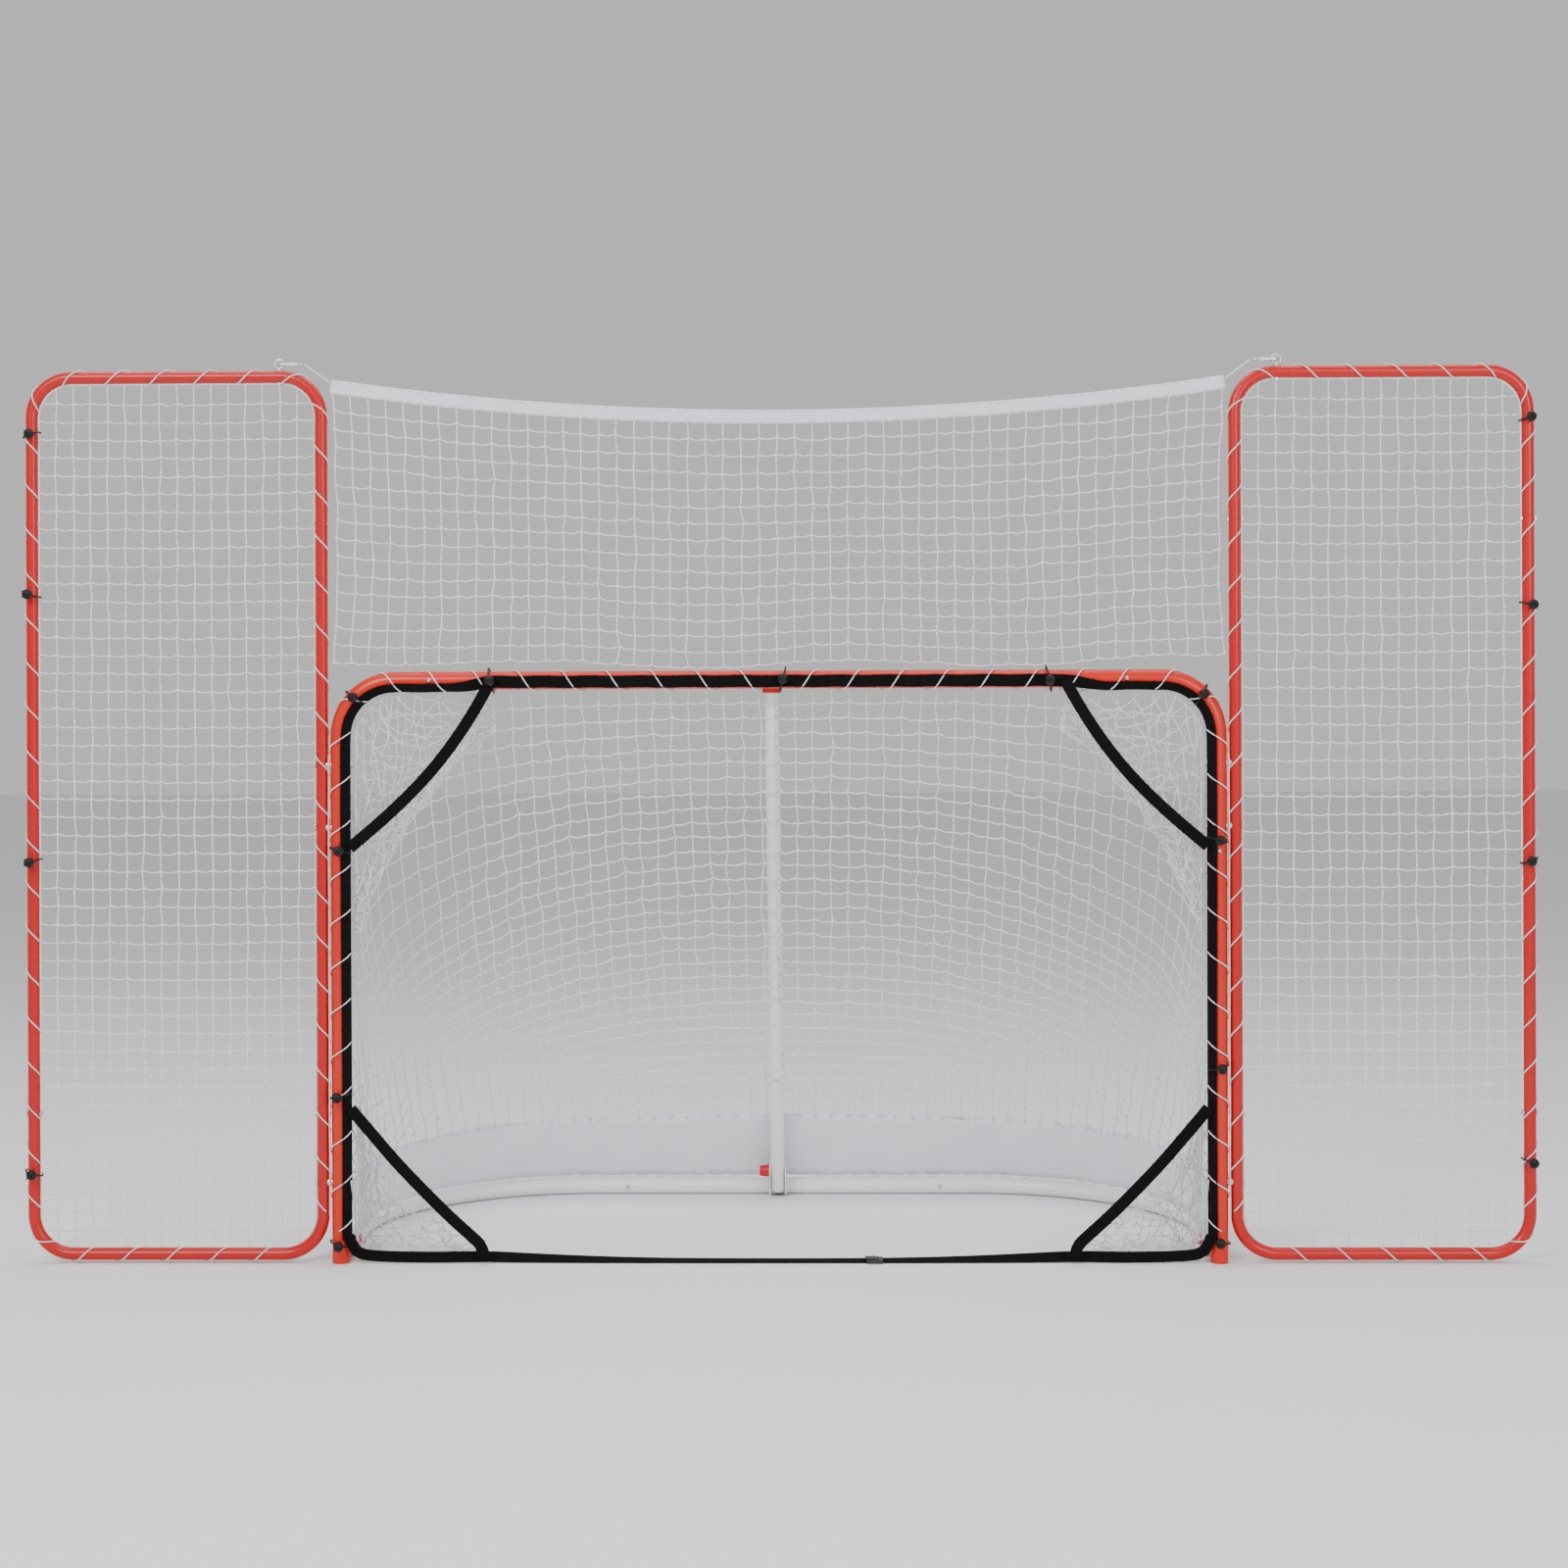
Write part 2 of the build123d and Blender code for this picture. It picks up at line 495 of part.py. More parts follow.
# ---- target pockets --------------------------------------------------------------------------------------
def pocket(outline, inner, side_view, inner_view, mouth):
    """A bag of net with 3 mm walls: outlines in X and Z, side views in Y and Z, open at its mouth."""
    bag = plate_y(outline, -14, 300) & plate_x(side_view, 400, 950)
    hollow = plate_y(inner, -14, 300) & plate_x(inner_view, 400, 950)
    return bag - hollow - plate_y(mouth, -20, -5)


def pockets():
    upper = pocket(
        [(612, 1205), (760, 1205), (870, 960), (870, 728), (643, 1148)],
        [(619, 1201), (757, 1201), (866, 959), (866, 741), (648, 1146)],
        [(-14, 1206), (12, 1206), (80, 1094), (80, 720), (-14, 720)],
        [(-11, 1202), (8, 1202), (76, 1090), (76, 700), (-11, 700)],
        [(622, 1200), (756, 1200), (865, 958), (865, 918)],
    )
    lower = pocket(
        [(612, 3), (885, 3), (885, 331)],
        [(622, 7), (881, 7), (881, 318)],
        [(-14, 1), (170, 1), (170, 90), (60, 332), (-14, 332)],
        [(-11, 1), (166, 1), (166, 89), (58, 322), (-11, 322)],
        [(624, 8), (880, 8), (880, 316)],
    )
    for side, s in SIDES.items():
        for level, bag in (("upper", upper), ("lower", lower)):
            save(f"pocket_{level}_{side}", bag if s > 0 else mirror(bag, about=Plane.YZ))


TIE_X, TIE_HIGH, TIE_LOW = 609.0, 884.0, 331.0  # where the diagonals meet the crossbar, floor and posts


def band_on(start, end, front, spread):
    """Webbing that lies on a tube: its middle faces front, and spread is half its angle."""
    start, end = Vector(*start), Vector(*end)
    plane = Plane(origin=start, x_dir=Vector(*front), z_dir=end - start)
    half = 60 * tan(radians(spread))
    wedge = Polygon((0, 0), (60, -half), (60, half), align=None)
    inside = TUBE / 2 + 0.3
    face = (Circle(inside + WEB_T) - Circle(inside)) & wedge
    return extrude(plane * face, amount=(end - start).length, dir=(end - start).normalized())


def strip(a, b, y):
    """A straight run of webbing between two points given in X and Z."""
    run = Vector(b[0] - a[0], 0, b[1] - a[1])
    middle = Vector((a[0] + b[0]) / 2, y, (a[1] + b[1]) / 2)
    return Pos(*middle) * Rot(0, -degrees(atan2(run.Z, run.X)), 0) * Box(run.length, WEB_T, WEB)


def webbing():
    edges = [band_on((-625, 0, BAR_Z), (625, 0, BAR_Z), (0, -cos(radians(8)), -sin(radians(8))), 35)]
    for s in (-1, 1):
        x = s * POST_X
        edges.append(band_on((x, 0, 48), (x, 0, 1100), (-s * sin(radians(43)), -cos(radians(43)), 0), 25))
        edges.append(strip((s * 640, 1204), (s * 830, 1196), -16))
        edges.append(strip((s * 836, 1187), (s * 898, 1118), -16))
    save("webbing_edges", *edges)
    front = -TUBE / 2 - 6.6
    diagonals = []
    for s in (-1, 1):
        diagonals.append(strip((s * TIE_X, 1236), (s * 908, TIE_HIGH), front))
        diagonals.append(strip((s * 908, TIE_LOW), (s * TIE_X, 22), front))
    save("webbing_diagonals", *diagonals)


def goal_line_strap():
    """Webbing that lies along the goal line between the lower pockets, and its cam buckle."""
    low, high, y = 0.2, 2.4, WEB / 2
    left = block((-TIE_X, BUCKLE_X + 10), (-y, y), (low, high))
    right = block((BUCKLE_X + 14.5, TIE_X), (-y, y), (low, high))
    save("goal_line_strap", left, right)
    z0, z1 = 0.0, 8.0
    frame = block((BUCKLE_X - 14, BUCKLE_X + 20), (-y - 5, y + 5), (z0, z1))
    frame -= block((BUCKLE_X - 9, BUCKLE_X + 11), (-y - 1, y + 1), (-1, 9))
    frame -= block((BUCKLE_X - 15, BUCKLE_X - 8), (-y - 1, y + 1), (-0.5, 3.2))
    frame -= block((BUCKLE_X + 14, BUCKLE_X + 21), (-y - 1, y + 1), (-0.5, 3.2))
    axle = rod((BUCKLE_X + 6, -y - 4, 6), (BUCKLE_X + 6, y + 4, 6), 1.5)
    save("buckle_frame", frame + axle)
    lever = block((BUCKLE_X - 18, BUCKLE_X + 6), (-y, y), (8.4, 10.4))
    lever += rod((BUCKLE_X + 6, -y, 6), (BUCKLE_X + 6, y, 6), 3.2)
    lever += block((BUCKLE_X + 3, BUCKLE_X + 6), (-y, y), (6, 9))
    save("buckle_lever", lever - rod((BUCKLE_X + 6, -20, 6), (BUCKLE_X + 6, 20, 6), 1.55))


# ---- ball bungees: (X, Z) where each one is, on the tube that it grips --------------------------------------
BALL_R, LOOP_R = 11.0, 1.8
ON_CROSSBAR = -609.0, 12.0, 576.0
ON_POSTS = {"left": (40.0, 355.0, 878.0), "right": (46.0, 414.0, 896.0)}
ON_WINGS = {"left": (191.0, 855.0, 1425.0, 1766.0), "right": (214.0, 850.0, 1391.0, 1787.0)}


def bungees():
    balls, loops = [], []

    def tie(at, along, tube_r, offset=4.0):
        """One loop of elastic round the tube and its ball in front."""
        ring = Plane(origin=at, z_dir=along) * Torus(tube_r + LOOP_R + 0.3 + offset, LOOP_R)
        loops.append(ring)
        front = Vector(*at) - Vector(0, tube_r + 2 * LOOP_R + offset + BALL_R + 2.6, 0)
        balls.append(Pos(*front) * Sphere(BALL_R))

    for x in ON_CROSSBAR:
        tie((x, 0, BAR_Z), (1, 0, 0), TUBE / 2, 6.0)
    for side, s in SIDES.items():
        for z in ON_POSTS[side]:
            tie((s * POST_X, 0, z), (0, 0, 1), TUBE / 2, 1.6)
        for z in ON_WINGS[side]:
            tie((s * WING_OUT, 0, z), (0, 0, 1), WING_TUBE / 2)
        turn = CORNER_R * (1 - sin(pi / 4))
        tie((s * (POST_X - turn), 0, BAR_Z - turn), (1, 0, -s), TUBE / 2)
    save("bungee_balls", *balls)
    save("bungee_loops", *loops)


# ---- lacing -----------------------------------------------------------------------------------------------------
def lacing():
    """One cord winds round each frame and ties its net on."""
    pitch = 94.6
    a, b = WING_IN, WING_OUT
    wing = FilletPolyline(
        (a, 0, 110), (a, 0, WING_HIGH), (b, 0, WING_HIGH), (b, 0, WING_LOW), (a + 90, 0, WING_LOW), radius=WING_R
    )
    # it passes between wing and post at heights of 189 mm and every pitch above it
    ring = cord(wraps(wing, (0, 1, 0), around(WING_TUBE / 2 + 0.6), pitch, phase=0.25 - (189 - 110) / pitch), LACE_R)
    save("lacing_wings", mirror(ring, about=Plane.YZ), ring)

    # the goal's two cords start at the middle of the crossbar and go over the webbing
    half = FilletPolyline((40, 0, BAR_Z), (POST_X, 0, BAR_Z), (POST_X, 0, 70), radius=CORNER_R)
    over = (TUBE / 2 + WEB_T + LACE_R + 0.5) / cos(pi / 4)
    turns = (half.length + 70 - 141.7) / pitch
    points = wraps(half, (0, -1, 0), over, pitch, phase=0.25 - turns, outside=around(TUBE / 2), hand=-1)
    run = cord(points, LACE_R)
    gap_x = POST_X + TUBE / 2 + WING_GAP / 2
    tie = rod((gap_x, -12.5, 102), (gap_x, -12.5, 1079), LACE_R)
    save("lacing_goal", mirror(run, about=Plane.YZ), run, mirror(tie, about=Plane.YZ), tie)
    runs = []
    for s in (-1, 1):
        z = TUBE + LACE_R + 4.4
        x = s * POST_X
        start = BRACE_X + s * 80
        line = FilletPolyline((start, BASE_DEPTH, z), (x, BASE_DEPTH, z), (x, HINGE_Y + 60, z), radius=BASE_R)
        runs.append(cord(wraps(line, (0, 0, 1), 3.6, 90), LACE_R))
    save("lacing_base", *runs)


front_frame()
hinge_brackets()
base_frame()
brace()
brace_latch()
wings()
snap_hooks()
goal_net()
backstop_nets()
pockets()
webbing()
goal_line_strap()
bungees()
lacing()

whole = Compound(children=list(made.values())).bounding_box()
print(f"{len(made)} nodes, from {whole.min} to {whole.max}")
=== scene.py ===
"""Looks of the street-hockey goal, built over its CAD frame."""
import json
from math import cos, hypot, pi, radians, sin

import bpy
import numpy as np
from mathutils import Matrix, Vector


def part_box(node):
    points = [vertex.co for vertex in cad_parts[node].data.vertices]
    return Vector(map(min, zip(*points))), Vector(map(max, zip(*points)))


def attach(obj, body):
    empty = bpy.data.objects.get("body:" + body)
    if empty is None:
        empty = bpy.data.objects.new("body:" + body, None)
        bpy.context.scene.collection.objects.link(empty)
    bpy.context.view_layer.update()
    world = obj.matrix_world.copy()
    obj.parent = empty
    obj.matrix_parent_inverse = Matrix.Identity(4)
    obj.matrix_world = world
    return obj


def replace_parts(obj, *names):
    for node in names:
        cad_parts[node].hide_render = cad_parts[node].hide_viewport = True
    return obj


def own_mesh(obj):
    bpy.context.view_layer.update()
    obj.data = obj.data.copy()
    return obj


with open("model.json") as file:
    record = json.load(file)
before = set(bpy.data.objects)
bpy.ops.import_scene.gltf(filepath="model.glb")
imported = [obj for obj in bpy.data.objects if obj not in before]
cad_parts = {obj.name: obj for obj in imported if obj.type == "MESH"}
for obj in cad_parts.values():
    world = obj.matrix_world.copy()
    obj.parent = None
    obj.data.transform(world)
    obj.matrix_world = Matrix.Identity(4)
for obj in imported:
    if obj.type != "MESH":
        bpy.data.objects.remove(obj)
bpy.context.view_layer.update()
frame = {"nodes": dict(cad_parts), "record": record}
nodes = frame["nodes"]
rng = np.random.default_rng(7)

# the posts' plane, found from a CAD post
low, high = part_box("post_lower_left")
FRONT = (low.y + high.y) / 2
POST_X, BAR_Z, TUBE_R = 0.93345, 1.23825, 0.01905  # the posts' and the crossbar's middle lines, and their radius
WING_IN, WING_OUT, WING_R = 0.9707, 1.5903, 0.0127  # a wing's uprights, and their radius
WING_LOW, WING_HIGH = 0.0175, 1.8873  # a wing's lower and upper tubes
DEPTH, BEND_R = 0.743, 0.468  # how far the base tube is behind the posts, and the bend of the net along it
BRACE_X, BRACE_LEAN = -0.0135, 28.9
CORNER_R = 0.118  # the bend at the crossbar's ends
MESH, STRAND_R, POCKET_STRAND_R = 0.0381, 0.0015, 0.0013


# ---- materials ---------------------------------------------------------------------------------------------
def material(
    name, color, rough, metal=0.0, noise=400.0, bump=0.05, vary=0.06, weave=0.0, coat=0.0, sheen=0.0, rough_vary=0.06,
    shine=0.5,
):
    """Fine noise gives gloss and relief, broad noise the colour's drift, and weave the threads of cloth or cord."""
    m = bpy.data.materials.new(name)
    m.use_nodes = True
    t = m.node_tree
    shader = t.nodes["Principled BSDF"]
    shader.inputs["Metallic"].default_value = metal
    shader.inputs["Specular IOR Level"].default_value = shine
    if coat:
        shader.inputs["Coat Weight"].default_value = coat
        shader.inputs["Coat Roughness"].default_value = 0.12
    if sheen:
        shader.inputs["Sheen Weight"].default_value = sheen
    where = t.nodes.new("ShaderNodeTexCoord")
    fine = t.nodes.new("ShaderNodeTexNoise")
    fine.inputs["Scale"].default_value = noise
    fine.inputs["Detail"].default_value = 4.0
    t.links.new(where.outputs["Object"], fine.inputs["Vector"])
    broad = t.nodes.new("ShaderNodeTexNoise")
    broad.inputs["Scale"].default_value = 9.0
    broad.inputs["Detail"].default_value = 5.0
    t.links.new(where.outputs["Object"], broad.inputs["Vector"])
    ramp = t.nodes.new("ShaderNodeMix")
    ramp.data_type = "RGBA"
    ramp.inputs["A"].default_value = (*[c * (1 - vary) for c in color], 1)
    ramp.inputs["B"].default_value = (*[min(1, c * (1 + vary)) for c in color], 1)
    t.links.new(broad.outputs["Fac"], ramp.inputs["Factor"])
    t.links.new(ramp.outputs["Result"], shader.inputs["Base Color"])
    spread = t.nodes.new("ShaderNodeMapRange")
    spread.inputs["To Min"].default_value = max(0.02, rough - rough_vary)
    spread.inputs["To Max"].default_value = min(1, rough + rough_vary)
    t.links.new(fine.outputs["Fac"], spread.inputs["Value"])
    t.links.new(spread.outputs["Result"], shader.inputs["Roughness"])
    height = fine.outputs["Fac"]
    if weave:
        wave = t.nodes.new("ShaderNodeTexWave")
        wave.inputs["Scale"].default_value = weave
        wave.inputs["Distortion"].default_value = 1.0
        t.links.new(where.outputs["Object"], wave.inputs["Vector"])
        add = t.nodes.new("ShaderNodeMath")
        add.operation = "ADD"
        t.links.new(wave.outputs["Fac"], add.inputs[0])
        t.links.new(fine.outputs["Fac"], add.inputs[1])
        height = add.outputs["Value"]
    relief = t.nodes.new("ShaderNodeBump")
    relief.inputs["Strength"].default_value = bump
    relief.inputs["Distance"].default_value = 0.0006
    t.links.new(height, relief.inputs["Height"])
    t.links.new(relief.outputs["Normal"], shader.inputs["Normal"])
    return m


M = {
    "red_paint": material(
        "red powder coat", (0.62, 0.014, 0.001), 0.34, shine=0.35, coat=0.12, noise=900, bump=0.06, vary=0.05
    ),
    "wing_paint": material(
        "wing powder coat", (0.5, 0.003, 0.003), 0.33, shine=0.35, coat=0.12, noise=900, bump=0.06, vary=0.05
    ),
    "white_paint": material(
        "white powder coat", (0.8, 0.8, 0.81), 0.33, coat=0.3, noise=900, bump=0.06, vary=0.02
    ),
    "zinc_steel": material(
        "zinc plate", (0.62, 0.61, 0.6), 0.32, metal=1.0, noise=260, bump=0.08, vary=0.12, rough_vary=0.12
    ),
    "white_net": material(
        "net cord", (0.86, 0.86, 0.87), 0.75, noise=1400, bump=0.5, vary=0.03, weave=260, sheen=0.2
    ),
    "skirt_cloth": material(
        "skirt cloth", (0.76, 0.78, 0.83), 0.7, noise=1100, bump=0.25, vary=0.025, weave=420, sheen=0.2
    ),
    "black_webbing": material(
        "webbing", (0.004, 0.004, 0.0045), 0.8, noise=900, bump=0.8, vary=0.3, weave=330, shine=0.12
    ),
    "white_cord": material(
        "lacing cord", (0.86, 0.86, 0.87), 0.65, noise=1300, bump=0.6, vary=0.03, weave=340
    ),
    "black_rubber": material(
        "black rubber", (0.004, 0.004, 0.0045), 0.45, noise=500, bump=0.2, vary=0.3, shine=0.3
    ),
    "black_plastic": material("black plastic", (0.02, 0.02, 0.02), 0.5, noise=600, bump=0.15, vary=0.25),
    "red_knob": material(
        "red knob", (0.55, 0.003, 0.01), 0.4, shine=0.3, noise=500, bump=0.12, vary=0.06
    ),
}
for part in frame["record"]["subparts"]:
    o = nodes[part["node"]]
    o.data.materials.clear()
    o.data.materials.append(M[part["material_slot"]])


# ---- mesh makers -------------------------------------------------------------------------------------------
def add_mesh(name, verts, faces, slot, body="front_frame"):
    """A new smooth piece in a slot's material, riding on a body."""
    me = bpy.data.meshes.new(name)
    me.from_pydata([tuple(v) for v in verts], [], [tuple(f) for f in faces])
    me.polygons.foreach_set("use_smooth", [True] * len(me.polygons))
    me.update()
    o = bpy.data.objects.new(name, me)
    bpy.context.scene.collection.objects.link(o)
    me.materials.append(M[slot])
    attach(o, body)
    return o


def prisms(a, b, r, sides=5):
    """Closed rods from each a to each b: returns vertices and faces."""
    a, b = np.asarray(a, float), np.asarray(b, float)
    d = b - a
    keep = np.linalg.norm(d, axis=1) > 1e-5
    a, b, d = a[keep], b[keep], d[keep]
    d /= np.linalg.norm(d, axis=1)[:, None]
    ref = np.where(np.abs(d[:, 2:3]) < 0.8, [[0, 0, 1.0]], [[0, 1.0, 0]])
    u = np.cross(d, ref)
    u /= np.linalg.norm(u, axis=1)[:, None]
    w = np.cross(d, u)
    ang = 2 * pi * np.arange(sides) / sides
    ring = u[:, None] * np.cos(ang)[None, :, None] + w[:, None] * np.sin(ang)[None, :, None]
    v = np.concatenate([a[:, None] + ring * r, b[:, None] + ring * r], axis=1).reshape(-1, 3)
    k = np.arange(sides)
    side = np.stack([k, (k + 1) % sides, (k + 1) % sides + sides, k + sides], 1)
    base = (np.arange(len(a)) * 2 * sides)[:, None]
    quads = (side[None] + base[:, :, None]).reshape(-1, 4)
    caps = np.concatenate([base + k[::-1][None], base + (k + sides)[None]])
    return v, [list(q) for q in quads] + [list(c) for c in caps]


def tube(points, r, sides=8, closed=False, twist=0.0, lobes=0.0):
    """A cord along points. Three lobes in its section turn by twist from ring to ring."""
    p = np.asarray(points, float)
    n = len(p)
    t = np.roll(p, -1, 0) - np.roll(p, 1, 0)
    if not closed:
        t[0], t[-1] = p[1] - p[0], p[-1] - p[-2]
    t /= np.maximum(np.linalg.norm(t, axis=1), 1e-9)[:, None]
    ref = np.array([0.0, 0.0, 1.0]) if abs(t[0][2]) < 0.8 else np.array([0.0, 1.0, 0.0])
    u = np.cross(t[0], ref)
    rings = []
    ang = 2 * pi * np.arange(sides) / sides
    r = (r * (1 + lobes * np.cos(3 * ang)))[:, None]
    for i in range(n):
        u = u - t[i] * (u @ t[i])
        u /= np.linalg.norm(u)
        w = np.cross(t[i], u)
        rings.append(p[i] + r * (np.outer(np.cos(ang + twist * i), u) + np.outer(np.sin(ang + twist * i), w)))
    v = np.concatenate(rings)
    faces = []
    for i in range(n if closed else n - 1):
        j = (i + 1) % n
        for k in range(sides):
            after = (k + 1) % sides
            faces.append([i * sides + k, i * sides + after, j * sides + after, j * sides + k])
    if not closed:
        faces.append(list(range(sides))[::-1])
        faces.append([(n - 1) * sides + k for k in range(sides)])
    return v, faces


def join(parts):
    """One mesh of several."""
    verts, faces, first = [], [], 0
    for v, f in parts:
        verts.append(v)
        faces += [[i + first for i in q] for q in f]
        first += len(v)
    return np.concatenate(verts), faces


def smooth_line(points, per=8):
    """A Catmull-Rom line through the points."""
    p = [np.array(q, float) for q in points]
    p = [2 * p[0] - p[1]] + p + [2 * p[-1] - p[-2]]
    out = []
    for a, b, c, d in zip(p, p[1:], p[2:], p[3:]):
        for k in range(per):
            s = k / per
            bend, twist = 2 * a - 5 * b + 4 * c - d, 3 * b - a - 3 * c + d
            out.append(0.5 * (2 * b + (c - a) * s + bend * s**2 + twist * s**3))
    out.append(p[-2])
    return np.array(out)


def ribbon(points, faces_to, width, thick=0.002, rib=0.0004):
    """Webbing along points: faces_to gives the way its flat side faces at each point."""
    p, nrm = np.asarray(points, float), np.asarray(faces_to, float)
    if nrm.ndim == 1:
        nrm = np.tile(nrm, (len(p), 1))
    t = np.gradient(p, axis=0)
    t /= np.linalg.norm(t, axis=1)[:, None]
    nrm = nrm - t * np.sum(nrm * t, axis=1)[:, None]
    nrm /= np.linalg.norm(nrm, axis=1)[:, None]
    w = np.cross(t, nrm)
    # the section is thinner at its two edges and has four ribs a side
    face = []
    for k, s in enumerate(np.linspace(-0.5, 0.5, 9)):
        face.append((s * width, thick / 2 * (0.55 if k in (0, 8) else 1) + (rib if k % 2 else 0)))
    profile = face + [(a, -b) for a, b in reversed(face)]
    n = len(profile)
    v = np.concatenate([p[i] + np.array([w[i] * a + nrm[i] * b for a, b in profile]) for i in range(len(p))])
    faces = []
    for i in range(len(p) - 1):
        for k in range(n):
            after = (k + 1) % n
            faces.append([i * n + k, i * n + after, (i + 1) * n + after, (i + 1) * n + k])
    faces.append(list(range(n))[::-1])
    faces.append([(len(p) - 1) * n + k for k in range(n)])
    return v, faces


def at(x, y, z):
    """A point given from the posts' plane, in the row frame."""
    return np.array([x, y + FRONT, z])


SLACK, SCATTER = 0.09, 0.03  # how far a strand sags and strays, of its span


def fold_flat(o):
    """Gives the piece a mesh of its own."""
    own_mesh(o)


def links(index, di, dj):
    """The strands from each knot to its neighbour di columns and dj rows on."""
    return [(index[i, j], index[i + di, j + dj]) for i, j in index if (i + di, j + dj) in index]


def net(name, knots, rows, cols, r, replaced, extra=()):
    """Strands between the knots along rows and columns, with a small knot where they cross. Extra ones run to edges."""
    a = [knots[i] for i, j in rows] + [knots[i] for i, j in cols] + [e[0] for e in extra]
    b = [knots[j] for i, j in rows] + [knots[j] for i, j in cols] + [e[1] for e in extra]
    a, b = np.array(a), np.array(b)
    sag = np.zeros_like(a)
    span = np.linalg.norm(b - a, axis=1)
    level = np.abs((b - a)[:, 2]) < 0.6 * span
    sag[:, 2] = np.where(level, -SLACK, 0.0) * span
    sag[:, 1] = rng.normal(0, SCATTER, len(a)) * span
    mid = (a + b) / 2 + sag
    mid[:, 2] = np.maximum(mid[:, 2], 2 * r)
    sides = 5
    halves = [prisms(a, mid, r, sides), prisms(mid, b, r, sides)]
    used = sorted({i for pair in list(rows) + list(cols) for i in pair})
    k = np.array([knots[i] for i in used])
    lump = r * 1.9
    crossings = prisms(k + [[-lump, 0, -lump * 0.5]], k + [[lump, 0, lump * 0.5]], r * 1.55, 5)
    o = add_mesh(name, *join([*halves, crossings]), "white_net")
    for n in replaced:
        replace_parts(o, n)
    return o


# ---- wing nets ---------------------------------------------------------------------------------------------
def wing_net(side, s):
    """A wing's net, up to a border cord that follows the tubes' inside."""
    x0, x1 = WING_IN + WING_R + 0.002, WING_OUT - WING_R - 0.002
    z0, z1 = WING_LOW + WING_R + 0.002, WING_HIGH - WING_R - 0.002
    radius = 0.0705
    nx, nz = 15, 47
    knots, index = [], {}

    def inside(x, z, grow=0.0):
        cx = min(max(x, x0 + radius), x1 - radius)
        cz = min(max(z, z0 + radius), z1 - radius)
        return hypot(x - cx, z - cz) <= radius + grow

    xs = np.linspace(x0, x1, nx + 2)
    zs = np.linspace(z0, z1, nz + 2)
    wob = rng.normal(0, 0.0012, (nx + 2, nz + 2, 3))
    for i in range(1, nx + 1):
        for j in range(1, nz + 1):
            if inside(xs[i], zs[j], -0.004):
                index[i, j] = len(knots)
                bulge = 0.006 * sin(pi * i / (nx + 1)) * sin(pi * j / (nz + 1))
                slump = -0.004 * sin(pi * i / (nx + 1))
                knots.append(at(s * (xs[i] + wob[i, j, 0]), bulge + wob[i, j, 1], zs[j] + slump + wob[i, j, 2]))
    rows, cols = links(index, 1, 0), links(index, 0, 1)
    extra = []
    for (i, j), k in index.items():
        for di, dj in ((1, 0), (-1, 0), (0, 1), (0, -1)):
            if (i + di, j + dj) not in index:
                x, z = xs[i], zs[j]
                for _ in range(60):
                    if not inside(x, z):
                        break
                    x += di * 0.0007
                    z += dj * 0.0007
                extra.append((knots[k], at(s * x, 0, z)))
    net(
        f"wing_net_{side}_cords", knots, rows, cols, STRAND_R,
        [f"wing_net_{side}"], extra,
    )
    left, right, bottom, top = x0 + radius, x1 - radius, z0 + radius, z1 - radius
    edge = []
    for cx, cz, a0 in ((right, top, 0), (left, top, 90), (left, bottom, 180), (right, bottom, 270)):
        for a in range(0, 91, 10):
            q = radians(a0 + a)
            edge.append(at(s * (cx + radius * cos(q)), 0, cz + radius * sin(q)))
    add_mesh(f"wing_net_{side}_border", *tube(edge, 0.0019, 8, closed=True), "white_cord")


wing_net("left", -1)
wing_net("right", 1)


# ---- upper backstop net and its hem ------------------------------------------------------------------------
HEM_X, HEM_TOP, SAG = 0.951, 1.8813, 0.069


def hem_z(x):
    """Height of the hem's top edge, which sags towards its middle."""
    return HEM_TOP - SAG * (1 - (x / HEM_X) ** 2)


def upper_net():
    """The net between the wings, from its hem down to the crossbar, and the hem's webbing with two rows of stitches."""
    nx, nz = 50, 15
    knots, index = [], {}
    for i in range(nx + 1):
        for j in range(nz + 1):
            u = -1 + 2 * i / nx
            x = u * (HEM_X - 0.004)
            top = hem_z(x) - 0.026
            bottom = 1.272 + 0.012 * u**2 + 0.008 * sin(9 * u)
            share = j / nz
            z = top + (bottom - top) * share
            pull = 0.012 * sin(pi * share) * (1 if u > 0 else -1) * abs(u) ** 3
            y = 0.012 * sin(3.1 * u + 4 * share) * sin(pi * share)
            w = rng.normal(0, 0.0016, 3) * (0 < j)
            index[i, j] = len(knots)
            knots.append(at(x - pull + w[0], y + w[1], z - 0.006 * sin(pi * share) + w[2]))
    rows, cols = links(index, 1, 0), links(index, 0, 1)
    net(
        "upper_net_cords", knots, rows, cols, STRAND_R,
        ["backstop_net_upper"],
    )
    p = [at(x, -0.001 + 0.0016 * sin(31 * x), hem_z(x) - 0.015) for x in np.linspace(-HEM_X, HEM_X, 120)]
    hem = add_mesh("hem_webbing", *ribbon(p, (0, -1, 0), 0.029, 0.0022), "skirt_cloth")
    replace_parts(hem, "backstop_hem")
    for row, dz in (("lower", -0.0265), ("upper", -0.003)):
        xs = np.arange(-HEM_X + 0.01, HEM_X - 0.01, 0.022)
        a = [at(x, -0.0042, hem_z(x) + dz) for x in xs]
        b = [at(x + 0.013, -0.0042, hem_z(x + 0.013) + dz) for x in xs]
        add_mesh(f"hem_stitches_{row}", *prisms(a, b, 0.0006, 4), "white_cord")


upper_net()


# ---- goal net and skirt ------------------------------------------------------------------------------------
NET_TOP, NET_LOW, NET_X = 1.222, 0.046, 0.906
NET_FRONT = 0.012  # the net's depth under the crossbar
CORNER_DROP = 0.34  # how far the rows fall towards the corners


